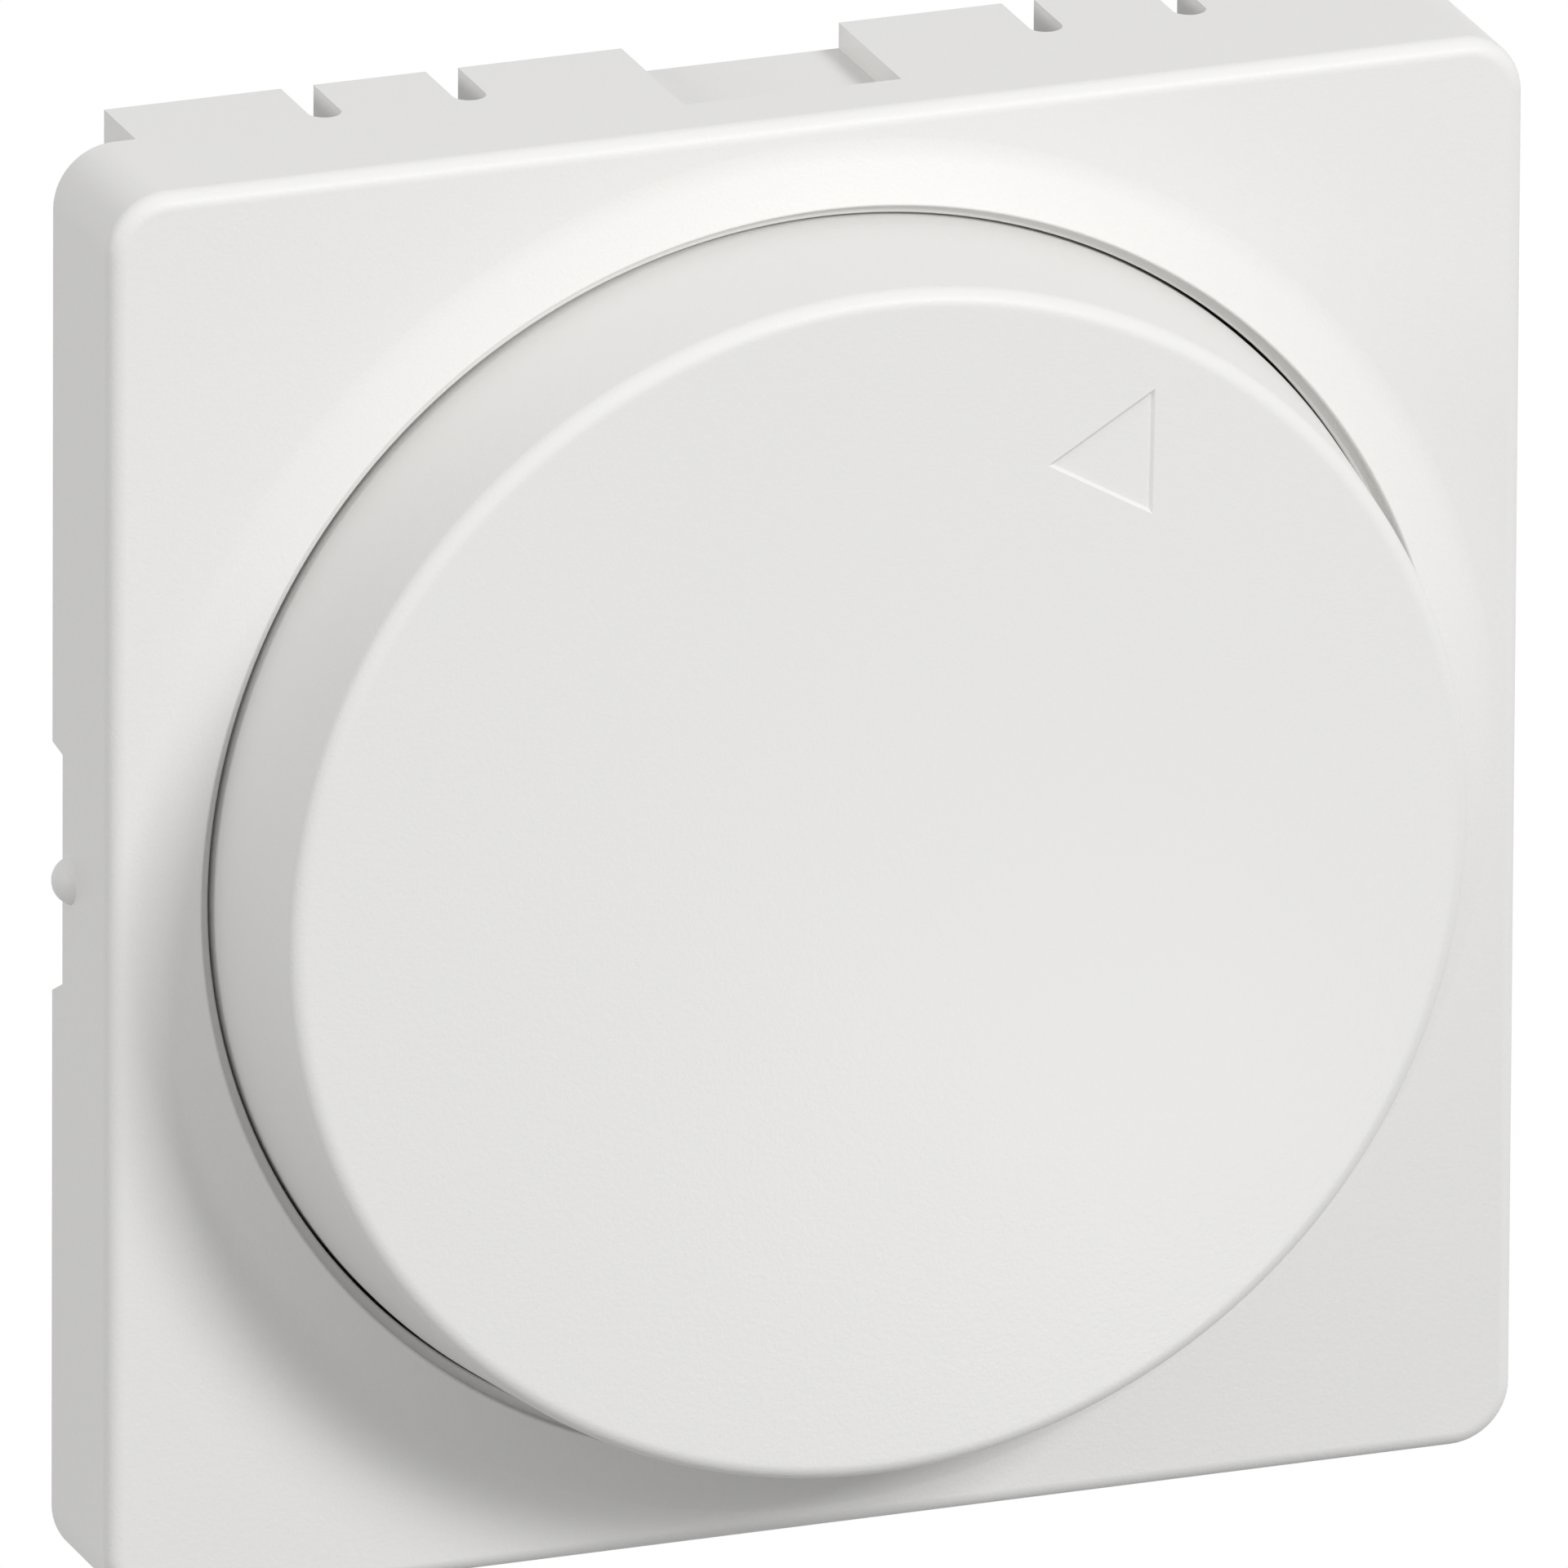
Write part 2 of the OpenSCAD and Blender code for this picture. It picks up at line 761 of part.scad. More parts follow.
module fuse_caps() {
    color(steel) left_cap_and_right_cap() difference() {
        cylinder(h = fuse_cap_l, r = fuse_r);
        translate([0, 0, 1]) cylinder(h = fuse_cap_l, r = fuse_r - 0.3);
    }
}

module left_cap_and_right_cap() {
    translate(fuse_at) for (s = [0, 1]) mirror([s, 0, 0])
        translate([-fuse_l / 2, 0, 0]) rotate([0, 90, 0]) children();
}

// Each clip is a foot on the board with two springy sides that hold the cap.
module fuse_clips() {
    side_t = 0.4;
    color(brass) for (s = [-1, 1]) {
        x = fuse_at[0] + s * (fuse_l / 2 - fuse_cap_l / 2 - 0.4);
        block(
            [x - 1.6, board_back_y, fuse_at[2] - fuse_r - side_t],
            [x + 1.6, board_back_y + side_t, fuse_at[2] + fuse_r + side_t]
        );
        for (side = [-1, 1]) {
            z = fuse_at[2] + side * (fuse_r + side_t / 2);
            block(
                [x - 1.6, board_back_y, z - side_t / 2],
                [x + 1.6, fuse_at[1] + 1.6, z + side_t / 2]
            );
        }
    }
}

// ---------------------------------------------------------------------------------------------
// Terminals
// ---------------------------------------------------------------------------------------------

cage_half = 2.2;
cage_low_z = -13.4;
cage_high_z = -8.9;
cage_front_y = 8.8;
cage_back_y = 14.2;
block_low = [pole_x[0] - 3.1, board_back_y, -inner_half + slip];
block_high = [pole_x[2] + 3.1, inner_back_y, -7.6];

module terminal_block() {
    color(grey_plastic) difference() {
        block(block_low, block_high);
        for (x = pole_x) {
            block(
                [x - cage_half - slip, board_back_y - past, cage_low_z - slip],
                [x + cage_half + slip, cage_back_y + slip, cage_high_z + slip]
            );
            rod(wire_hole_r + slip, cage_back_y - past, inner_back_y + past, [x, pole_z]);
            translate([x, pole_y, block_low[2] - past]) cylinder(h = 4, r = 1.95);
        }
    }
}

// Brass cages: the wire goes in along Y and the screw presses on it along Z.
module terminal_clamps() {
    color(brass) for (x = pole_x) difference() {
        block([x - cage_half, cage_front_y, cage_low_z], [x + cage_half, cage_back_y, cage_high_z]);
        rod(1.5, cage_front_y - past, cage_back_y + past, [x, pole_z]);
        translate([x, pole_y, cage_low_z - past]) cylinder(h = 2.5, r = 1.25);
    }
}

module terminal_screws() {
    head_z = block_low[2] + 0.1;
    color(steel) for (x = pole_x) translate([x, pole_y, 0]) difference() {
        union() {
            translate([0, 0, head_z]) cylinder(h = 1.3, r = 1.8);
            translate([0, 0, head_z]) cylinder(h = -12.6 - head_z, r = 1.2);
        }
        translate([0, 0, head_z]) cube([0.6, 6, 1.2], center = true);
    }
}

// ---------------------------------------------------------------------------------------------
// Trimmer for the least brightness
// ---------------------------------------------------------------------------------------------

module trimmer_body() {
    color([0.85, 0.85, 0.82]) union() {
        difference() {
            rod(3, 2.2, 4.4, trimmer_at);
            rod(2.1, 1, 3.2, trimmer_at);
        }
        for (a = [90, 210, 330])
            rod(0.3, 4.3, board_y, trimmer_at + 2.2 * [cos(a), sin(a)]);
    }
}

module trimmer_rotor() {
    color([0.2, 0.45, 0.7]) difference() {
        rod(2, 0.9, 3.15, trimmer_at);
        translate([trimmer_at[0], 0.9, trimmer_at[1]]) cube([0.6, 1.4, 3], center = true);
    }
}

// ---------------------------------------------------------------------------------------------

cover_plate();
knob();
knob_clip();
knob_shaft();
fixing_nut();
lock_washer();
support_plate();
housing();
housing_screws();
circuit_board();
pot_bushing();
pot_body();
track_wafer();
resistance_track();
pot_rotor();
pot_wiper();
switch_body();
switch_plunger();
return_spring();
contact_arm();
fixed_contact();
triac();
triac_pad();
triac_screw();
choke_core();
choke_winding();
film_capacitor();
timing_capacitor();
resistors();
diac();
fuse_tube();
fuse_caps();
fuse_clips();
terminal_block();
terminal_clamps();
terminal_screws();
trimmer_body();
trimmer_rotor();
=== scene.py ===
# %% [markdown]
# A rotary dimmer switch: a square cover plate with a big round knob, and behind it the insert with
# its potentiometer, push switch, power parts and terminals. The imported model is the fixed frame:
# it holds every piece at its real size. This script gives each piece its finish, models the two
# pieces that face the room again with the soft edges of moulded plastic, and lights the result.

# %% Load the frame
import json
import math

import bmesh
import bpy
from mathutils import Matrix, Vector


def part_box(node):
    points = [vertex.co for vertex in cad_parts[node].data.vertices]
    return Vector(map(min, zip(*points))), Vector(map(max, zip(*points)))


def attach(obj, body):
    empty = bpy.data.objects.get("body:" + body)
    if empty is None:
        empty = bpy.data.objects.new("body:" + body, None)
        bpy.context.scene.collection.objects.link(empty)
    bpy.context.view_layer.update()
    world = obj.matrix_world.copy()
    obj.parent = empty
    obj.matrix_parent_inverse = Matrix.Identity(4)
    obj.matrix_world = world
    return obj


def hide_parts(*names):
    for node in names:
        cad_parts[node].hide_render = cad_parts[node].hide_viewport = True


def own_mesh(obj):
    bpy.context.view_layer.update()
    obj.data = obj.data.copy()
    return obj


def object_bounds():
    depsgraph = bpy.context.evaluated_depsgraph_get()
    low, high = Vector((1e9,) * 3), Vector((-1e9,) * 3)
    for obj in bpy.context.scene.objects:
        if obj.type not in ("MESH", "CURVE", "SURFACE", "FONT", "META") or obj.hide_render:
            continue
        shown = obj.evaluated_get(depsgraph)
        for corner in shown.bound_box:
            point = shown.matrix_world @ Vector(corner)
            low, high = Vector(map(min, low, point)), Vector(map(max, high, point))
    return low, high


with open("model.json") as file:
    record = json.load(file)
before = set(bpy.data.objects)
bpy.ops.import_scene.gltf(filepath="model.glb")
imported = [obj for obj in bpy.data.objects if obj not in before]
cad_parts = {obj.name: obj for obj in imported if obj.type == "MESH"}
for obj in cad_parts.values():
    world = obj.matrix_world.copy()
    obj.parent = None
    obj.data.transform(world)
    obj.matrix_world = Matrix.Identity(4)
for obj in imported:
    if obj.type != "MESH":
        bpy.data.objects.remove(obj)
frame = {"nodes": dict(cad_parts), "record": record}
cad_low, cad_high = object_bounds()
MM = 0.001

# %% [markdown]
# The places of everything come from the frame. The cover plate's box gives the plate's half width
# and the top of the raised ring. The knob's box gives its front, its back and its widest radius.

# %% Measure the cover plate and the knob
cover_low, cover_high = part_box("cover_plate")
knob_low, knob_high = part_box("knob")
HALF = cover_high.z
CREST_Y = cover_low.y
RING_RISE = 0.68 * MM
FACE_Y = CREST_Y + RING_RISE
HOLE_R = 21.96 * MM
print(f"plate {2000 * HALF:.1f} mm wide, knob {2000 * knob_high.x:.1f} mm across")

# %% [markdown]
# A long lens from two metres keeps the square almost parallel, as a catalogue picture does. The
# camera stands a little to the left and above, and its aim is a point beside the plate's centre.
# Its axes are worked out first, so that the tiny roll about the line of sight is exact.

# %% Camera
def camera_axes(azimuth, elevation, roll):
    """Right, up and backward directions of a camera that looks at the front."""
    a, e, r = (math.radians(v) for v in (azimuth, elevation, roll))
    back = Vector((math.sin(a) * math.cos(e), -math.cos(a) * math.cos(e), math.sin(e)))
    level = Vector((math.cos(a), math.sin(a), 0))
    rise = level.cross(-back)
    return math.cos(r) * level + math.sin(r) * rise, math.cos(r) * rise - math.sin(r) * level, back


CAMERA_DISTANCE = 2.083
right, up, back = camera_axes(-20.448, 20.123, 0.315)
aim = Vector((0, FACE_Y, 0)) - 1.107 * MM * right + 1.427 * MM * up
camera_data = bpy.data.cameras.new("camera")
camera_data.sensor_width = 36
camera_data.lens = 1438.9
camera_data.clip_start = 0.1
camera_data.clip_end = 20
camera = bpy.data.objects.new("camera", camera_data)
camera.matrix_world = Matrix((
    (right.x, up.x, back.x, 0), (right.y, up.y, back.y, 0), (right.z, up.z, back.z, 0), (0, 0, 0, 1)
))
camera.location = aim + CAMERA_DISTANCE * back
bpy.context.scene.collection.objects.link(camera)
bpy.context.scene.camera = camera
bpy.context.scene.view_settings.view_transform = "Standard"
print("camera at", [round(v, 3) for v in camera.location])

# %% [markdown]
# Every finish here is a tree of shader nodes. Building one by hand means a click for each node and
# each wire, so a few small functions do that work: one starts an empty material, one places a node
# with its settings, and one tells the rays that see a surface directly from those that carry light.

# %% Small helpers for node trees
def new_material(name):
    """An empty material with its node tree and output node."""
    material = bpy.data.materials.new(name)
    material.use_nodes = True
    material.node_tree.nodes.clear()
    output = material.node_tree.nodes.new("ShaderNodeOutputMaterial")
    return material, material.node_tree, output


def add(tree, kind, **values):
    """A node with its settings. A name with a capital letter first sets an input socket."""
    node = tree.nodes.new("ShaderNode" + kind)
    for key, value in values.items():
        if key[0].isupper():
            node.inputs[key.replace("_", " ")].default_value = value
        else:
            setattr(node, key, value)
    return node


def seen_directly(tree):
    """1 for camera, glossy and transmission rays, and 0 for the rays that carry soft light."""
    path = add(tree, "LightPath")
    either = add(tree, "Math", operation="MAXIMUM")
    all_three = add(tree, "Math", operation="MAXIMUM")
    tree.links.new(path.outputs["Is Camera Ray"], either.inputs[0])
    tree.links.new(path.outputs["Is Glossy Ray"], either.inputs[1])
    tree.links.new(either.outputs[0], all_three.inputs[0])
    tree.links.new(path.outputs["Is Transmission Ray"], all_three.inputs[1])
    return all_three.outputs[0]


# %% [markdown]
# The stage is a pale floor under the dimmer and a white world. The floor and the world show as
# plain white to the camera and in reflections, but they light the object only at a level at which
# a colour renders about as it is written. That split is made with the Light Path node.

# %% World and floor
WORLD_LIGHT = 0.53
world = bpy.data.worlds.new("studio")
bpy.context.scene.world = world
world.use_nodes = True
tree = world.node_tree
tree.nodes.clear()
soft = add(tree, "Background", Color=(1, 1, 1, 1), Strength=WORLD_LIGHT)
white = add(tree, "Background", Color=(1, 1, 1, 1), Strength=1)
mix = add(tree, "MixShader")
tree.links.new(seen_directly(tree), mix.inputs[0])
tree.links.new(soft.outputs[0], mix.inputs[1])
tree.links.new(white.outputs[0], mix.inputs[2])
tree.links.new(mix.outputs[0], add(tree, "OutputWorld").inputs[0])

bm = bmesh.new()
bmesh.ops.create_grid(bm, x_segments=1, y_segments=1, size=1.5)
bmesh.ops.translate(bm, verts=bm.verts, vec=(0, 0, cad_low.z - 12 * MM))
floor_mesh = bpy.data.meshes.new("floor")
bm.to_mesh(floor_mesh)
bm.free()
floor = bpy.data.objects.new("floor", floor_mesh)
bpy.context.scene.collection.objects.link(floor)
material, tree, output = new_material("pale_floor")
paper = add(tree, "BsdfDiffuse", Color=(0.35, 0.35, 0.35, 1))
white = add(tree, "Emission", Color=(1, 1, 1, 1), Strength=1)
mix = add(tree, "MixShader")
tree.links.new(seen_directly(tree), mix.inputs[0])
tree.links.new(paper.outputs[0], mix.inputs[1])
tree.links.new(white.outputs[0], mix.inputs[2])
tree.links.new(mix.outputs[0], output.inputs[0])
floor_mesh.materials.append(material)

# %% [markdown]
# One soft box stands in front, above and to the right, and draws the knob's soft shade on the plate
# below it at the left. A weaker one at the far left keeps the side of the plate readable, and the
# white room fills the rest. Both are large or far, so every shade has a soft border. Last, a small
# card stands low in front of the knob. It adds no light to the plastic's colour and only shows as a
# faint sheen on the lower face.

# %% Lamps
def soft_box(name, direction, distance, width, height, power, aim_at=(0, 0, 0)):
    """A rectangular lamp that looks at the plate, or at a point beside its centre, in mm."""
    lamp = bpy.data.lights.new(name, "AREA")
    lamp.shape = "RECTANGLE"
    lamp.size = width
    lamp.size_y = height
    lamp.energy = power
    box = bpy.data.objects.new(name, lamp)
    way = Vector(direction).normalized()
    box.location = Vector((0, FACE_Y, 0)) + Vector(aim_at) * MM + distance * way
    box.rotation_euler = (-way).to_track_quat("-Z", "Y").to_euler()
    box.visible_camera = False
    bpy.context.scene.collection.objects.link(box)
    return box


soft_box("key", (0.39, -0.756, 0.525), 1.0, 0.28, 0.28, 5.9)
soft_box("left_fill", (-0.9, -0.25, 0.32), 1.0, 0.35, 0.35, 2.25)
card = soft_box("sheen_card", (0.328, -0.880, -0.344), 0.06, 0.02, 0.018, 0.024, (7.3, -6.3, -12.5))
card.visible_diffuse = False

# %% [markdown]
# A moulded piece is one closed skin. The knob is a turned cup, so half of its section is drawn as
# a row of points, from the middle of the face, over the rounded edge, down the drafted side and
# back up inside round the hub, and spun round the axis. It could also be a lathe modifier on a
# curve, but a spun bmesh can be cut and joined straight away. Small arcs stand at every corner,
# because a moulded corner is never quite sharp and its thin highlight is what the eye reads.

# %% Helpers: sections and meshes
def arc(centre, radius, start, end, steps):
    """Points on an arc in the plane of radius and y, from one angle to another, in degrees."""
    angles = [math.radians(start + (end - start) * i / steps) for i in range(steps + 1)]
    return [(centre[0] + radius * math.cos(a), centre[1] + radius * math.sin(a)) for a in angles]


def finish_mesh(bm, name, sharp_degrees=35):
    """Turns the bmesh into an object whose faces are smooth up to the given angle."""
    bmesh.ops.remove_doubles(bm, verts=bm.verts, dist=0.002 * MM)
    bmesh.ops.recalc_face_normals(bm, faces=bm.faces)
    mesh = bpy.data.meshes.new(name)
    bm.to_mesh(mesh)
    bm.free()
    piece = bpy.data.objects.new(name, mesh)
    bpy.context.scene.collection.objects.link(piece)
    smooth(piece, sharp_degrees)
    return piece


def smooth(piece, sharp_degrees=35):
    """Smooth shading, with edges over the given angle left sharp."""
    piece.data.polygons.foreach_set("use_smooth", [True] * len(piece.data.polygons))
    piece.data.set_sharp_from_angle(angle=math.radians(sharp_degrees))


def spun(profile, steps=192, closed=False):
    """A bmesh of a section of (radius, y) points in millimetres, turned about the Y axis."""
    bm = bmesh.new()
    verts = [bm.verts.new((r * MM, y * MM, 0)) for r, y in profile]
    for first, second in zip(verts, verts[1:] + verts[:1] if closed else verts[1:]):
        bm.edges.new((first, second))
    bmesh.ops.spin(bm, geom=bm.verts[:] + bm.edges[:], cent=(0, 0, 0), axis=(0, 1, 0),
                   angle=math.tau, steps=steps, use_merge=True)
    bmesh.ops.remove_doubles(bm, verts=bm.verts, dist=0.002 * MM)
    bmesh.ops.recalc_face_normals(bm, faces=bm.faces)
    return bm


# %% [markdown]
# Ribs, slots and recesses are made as they are in a workshop: a plain block is joined on, or cut
# away. A boolean does both and can leave open seams without saying so, so each result is counted
# for open edges and its volume is printed.

# %% Helpers: blocks, joining and cutting
def box_bmesh(low, high):
    """A bmesh of a box between two corners in millimetres."""
    bm = bmesh.new()
    bmesh.ops.create_cube(bm, size=1)
    bmesh.ops.scale(bm, vec=(Vector(high) - Vector(low)) * MM, verts=bm.verts)
    bmesh.ops.translate(bm, vec=(Vector(low) + Vector(high)) / 2 * MM, verts=bm.verts)
    return bm


def carve(piece, tools, operation):
    """Joins to or cuts from a piece with each tool in turn, and keeps the result as its mesh."""
    for bm in tools:
        tool = finish_mesh(bm, "tool")
        step = piece.modifiers.new("carve", "BOOLEAN")
        step.operation = operation
        step.solver = "EXACT"
        step.object = tool
        dressed = piece.evaluated_get(bpy.context.evaluated_depsgraph_get())
        mesh = bpy.data.meshes.new_from_object(dressed)
        piece.modifiers.clear()
        piece.data = mesh
        bpy.data.objects.remove(tool)
    print(operation.lower(), len(tools), "tools:", len(piece.data.polygons), "faces,", check_closed(piece))


def check_closed(piece):
    bm = bmesh.new()
    bm.from_mesh(piece.data)
    open_edges = sum(not e.is_manifold for e in bm.edges)
    volume = bm.calc_volume() / MM ** 3
    bm.free()
    return f"{open_edges} open edges, {volume:.1f} mm3"


def turn(bm, degrees):
    """Turns a bmesh about the Y axis, clockwise as seen from the front."""
    way = Matrix.Rotation(math.radians(degrees), 3, "Y")
    bmesh.ops.rotate(bm, verts=bm.verts, cent=(0, 0, 0), matrix=way)
    return bm


# %% [markdown]
# Two helpers look after edges. One picks them by their place and rounds them as a mould maker's
# cutter would. The other is a modifier that leans the shading towards the broad faces, so that a
# flat front stays flat beside a thin round edge.

# %% Helpers: edges
def edges_where(bm, test):
    """Edges whose two ends both pass a test on their place, in millimetres."""
    return [e for e in bm.edges if all(test(v.co / MM) for v in e.verts)]


def round_edges(bm, edges, radius, segments):
    """Rounds edges to a radius in millimetres."""
    bmesh.ops.bevel(bm, geom=edges, offset=radius * MM, offset_type="OFFSET", segments=segments,
                    profile=0.5, affect="EDGES", material=-1, clamp_overlap=True)


def hold_flats(piece, weight=80):
    """Keeps broad faces looking flat beside their rounded edges."""
    step = piece.modifiers.new("hold_flats", "WEIGHTED_NORMAL")
    step.weight = weight
    step.keep_sharp = True


# %% Knob: the turned cup
KNOB_FACE = knob_low.y / MM
KNOB_REAR = knob_high.y / MM
KNOB_SIDE_R = 20.91
KNOB_BASE_R = knob_high.x / MM
KNOB_EDGE = 0.6
KNOB_WALL = 1.9
HUB_R, HUB_END = 5.5, -7.9
BORE_R = 3.05
inner_face = KNOB_FACE + KNOB_WALL
cup_r = KNOB_SIDE_R - KNOB_WALL
bore_floor = inner_face + 0.8
side_length = CREST_Y / MM - KNOB_FACE - KNOB_EDGE
draft = math.degrees(math.atan2(KNOB_BASE_R - KNOB_SIDE_R, side_length))
profile = [(0, KNOB_FACE), (KNOB_SIDE_R - KNOB_EDGE - 0.15, KNOB_FACE)]
profile += arc((KNOB_SIDE_R - KNOB_EDGE, KNOB_FACE + KNOB_EDGE), KNOB_EDGE, -90, -draft, 14)
profile += [(KNOB_BASE_R, CREST_Y / MM)]
profile += arc((KNOB_BASE_R - 0.2, KNOB_REAR - 0.2), 0.2, 0, 90, 4)
profile += arc((cup_r + 0.15, KNOB_REAR - 0.15), 0.15, 90, 180, 3)
profile += arc((cup_r - 0.4, inner_face + 0.4), 0.4, 0, -90, 5)
profile += arc((HUB_R + 0.3, inner_face + 0.3), 0.3, -90, -180, 4)
profile += [(HUB_R, HUB_END - 0.1), (HUB_R - 0.1, HUB_END), (BORE_R + 0.1, HUB_END)]
profile += [(BORE_R, HUB_END - 0.1), (BORE_R, bore_floor), (0, bore_floor)]
knob = finish_mesh(spun(profile), "turning_knob")
print("knob:", len(knob.data.polygons), "faces, draft", round(draft, 1), "degrees")

# %% [markdown]
# Inside, ribs in six directions stiffen the face, and a flat in the hub's hole fits the flat of
# the shaft. Three bars through the middle give all six ribs. They and the flat are joined to the
# cup, and then the hole, which has the same flat, is cut through them again.

# %% Knob: ribs and flat
RIB_HALF, RIB_DEPTH, FLAT_X, SUNK = 0.5, 2.4, 1.95, 0.3
ribs = []
for k in range(3):
    low = (-cup_r - 0.5, inner_face - SUNK, -RIB_HALF)
    ribs.append(turn(box_bmesh(low, (cup_r + 0.5, inner_face + RIB_DEPTH, RIB_HALF)), 60 * k))
ribs.append(box_bmesh((FLAT_X, inner_face + SUNK, -3.3), (3.6, HUB_END - 0.02, 3.3)))
carve(knob, ribs, "UNION")
bore = spun([(0, bore_floor), (BORE_R, bore_floor), (BORE_R, HUB_END + 1), (0, HUB_END + 1)])
shaft_hole = finish_mesh(bore, "shaft_hole")
carve(shaft_hole, [box_bmesh((FLAT_X, inner_face, -4), (4, HUB_END + 2, 4))], "DIFFERENCE")
bm = bmesh.new()
bm.from_mesh(shaft_hole.data)
bpy.data.objects.remove(shaft_hole)
carve(knob, [bm], "DIFFERENCE")

# %% [markdown]
# The pointer is a shallow triangle sunk in the face. Its cutter is one three-cornered face that is
# pushed inwards, with its point turned to the rim. It is a little narrower at its floor than at
# its front, because a mould needs draft to let the piece go.

# %% Knob: pointer
POINTER_TIP, POINTER_BASE, POINTER_HALF = 19.15, 15.1, 2.25
POINTER_DEPTH, POINTER_DRAFT, POINTER_ANGLE, PROUD = 0.09, 0.87, 30, 0.05
bm = bmesh.new()
corners = [(0, POINTER_TIP), (POINTER_HALF, POINTER_BASE), (-POINTER_HALF, POINTER_BASE)]
front_y = KNOB_FACE - PROUD
bm.faces.new([bm.verts.new((x * MM, front_y * MM, z * MM)) for x, z in corners])
pushed = bmesh.ops.extrude_face_region(bm, geom=bm.faces[:])["geom"]
floor_verts = [g for g in pushed if isinstance(g, bmesh.types.BMVert)]
bmesh.ops.translate(bm, verts=floor_verts, vec=(0, (PROUD + POINTER_DEPTH) * MM, 0))
pointer_middle = Vector((0, 0, (POINTER_TIP + 2 * POINTER_BASE) / 3)) * MM
bmesh.ops.scale(bm, verts=floor_verts, vec=(POINTER_DRAFT, 1, POINTER_DRAFT),
                space=Matrix.Translation(-pointer_middle))
carve(knob, [turn(bm, POINTER_ANGLE)], "DIFFERENCE")
smooth(knob, 32)
hold_flats(knob)
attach(knob, "knob")
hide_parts("knob")

# %% [markdown]
# The cover plate is one moulding. Its blank is a block with rounded upright corners and a rounded
# front edge. An inset and a push from behind make it a shell, and then boxes cut away what isn't
# skirt behind the rim. This follows how a mould maker would describe it, and bevelled blocks keep
# the corners truly round, which a subdivision surface wouldn't.

# %% Cover plate: the shell
RIM_DEPTH, PLATE_WALL, CORNER_R, FRONT_EDGE = 5.6, 1.5, 2.1, 0.6
face = FACE_Y / MM
half = round(HALF / MM, 3)
rim_back = face + RIM_DEPTH
front_back = face + PLATE_WALL
bm = box_bmesh((-half, face, -half), (half, 0, half))
corners = [e for e in bm.edges if abs(e.verts[0].co.y - e.verts[1].co.y) > MM]
round_edges(bm, corners, CORNER_R, 14)
round_edges(bm, edges_where(bm, lambda p: p.y < face + 0.01), FRONT_EDGE, 8)
behind = [f for f in bm.faces if f.normal.y > 0.9]
bmesh.ops.inset_region(bm, faces=behind, thickness=PLATE_WALL * MM, use_even_offset=True)
pushed = bmesh.ops.extrude_face_region(bm, geom=behind)["geom"]
bmesh.ops.delete(bm, geom=[f for f in behind if f.is_valid], context="FACES_ONLY")
floor_verts = [g for g in pushed if isinstance(g, bmesh.types.BMVert)]
bmesh.ops.translate(bm, verts=floor_verts, vec=(0, front_back * MM, 0))
cover = finish_mesh(bm, "front_cover")
print("shell:", len(cover.data.polygons), "faces")

# %% [markdown]
# The real plate's sides are thin walls of different depths: the rim on the left and right is short,
# and the skirts at the top and bottom reach the wall. They could be four separate walls, but one
# box that is cut back at its sides keeps the corners in one piece, as the mould does.

# %% Cover plate: rim, skirts and latch shelves
SKIRT_HALF, LATCH_HALF = 22.1, 3.85
cuts = [box_bmesh((side * SKIRT_HALF, rim_back, -26), (side * 26, 1, 26)) for side in (-1, 1)]
cuts.append(box_bmesh((-SKIRT_HALF - 0.5, rim_back, -23.8), (SKIRT_HALF + 0.5, 1, 23.8)))
carve(cover, cuts, "DIFFERENCE")
shelf_low = (-LATCH_HALF - 1.2, front_back - 0.3, 23)
shelf_high = (LATCH_HALF + 1.2, -0.001, 24.4)
carve(cover, [turn(box_bmesh(shelf_low, shelf_high), angle) for angle in (0, 180)], "UNION")

# %% [markdown]
# The latch recesses and the eight slots that make the skirts spring are cut from the top and
# turned half round for the bottom. A slot's cutter is a bar whose front edges are rounded to half
# its width, so that the slot ends in a half circle. In each side's rim is a notch. Its cutter
# gets wider towards the wall: its upper end leans a little, and its lower end more.

# %% Cover plate: recesses, slots and notches
SLOT_PLACES, SLOT_HALF, SLOT_FRONT = (-15.3, -10.2, 10.2, 15.3), 0.575, 5.5
RECESS_FRONT, RECESS_FLOOR = 2.75, 24.1
NOTCH_DEPTH, NOTCH_LOW, NOTCH_HIGH, LEAN_LOW, LEAN_HIGH = 1, -4.08, 4.02, 1.1, 0.28
cuts = []
for angle in (0, 180):
    recess = box_bmesh((-LATCH_HALF, face + RECESS_FRONT, RECESS_FLOOR), (LATCH_HALF, 1, 26))
    cuts.append(turn(recess, angle))
    for x in SLOT_PLACES:
        bar = box_bmesh((x - SLOT_HALF, face + SLOT_FRONT, 23.2), (x + SLOT_HALF, 1, 26))
        ends = [e for e in edges_where(bar, lambda p: p.y < face + SLOT_FRONT + 0.1)
                if abs(e.verts[0].co.z - e.verts[1].co.z) > MM]
        round_edges(bar, ends, SLOT_HALF - 0.005, 6)
        cuts.append(turn(bar, angle))
for side in (-1, 1):
    notch = box_bmesh((-1.5, rim_back - NOTCH_DEPTH, NOTCH_LOW), (1.5, rim_back + NOTCH_DEPTH, NOTCH_HIGH))
    bmesh.ops.translate(notch, verts=notch.verts, vec=(side * 24.5 * MM, 0, 0))
    back_verts = [v for v in notch.verts if v.co.y > rim_back * MM]
    for lean, end in ((LEAN_HIGH, 1), (-LEAN_LOW, -1)):
        leaning = [v for v in back_verts if v.co.z * end > 0]
        bmesh.ops.translate(notch, verts=leaning, vec=(0, 0, lean * MM))
    cuts.append(notch)
carve(cover, cuts, "DIFFERENCE")

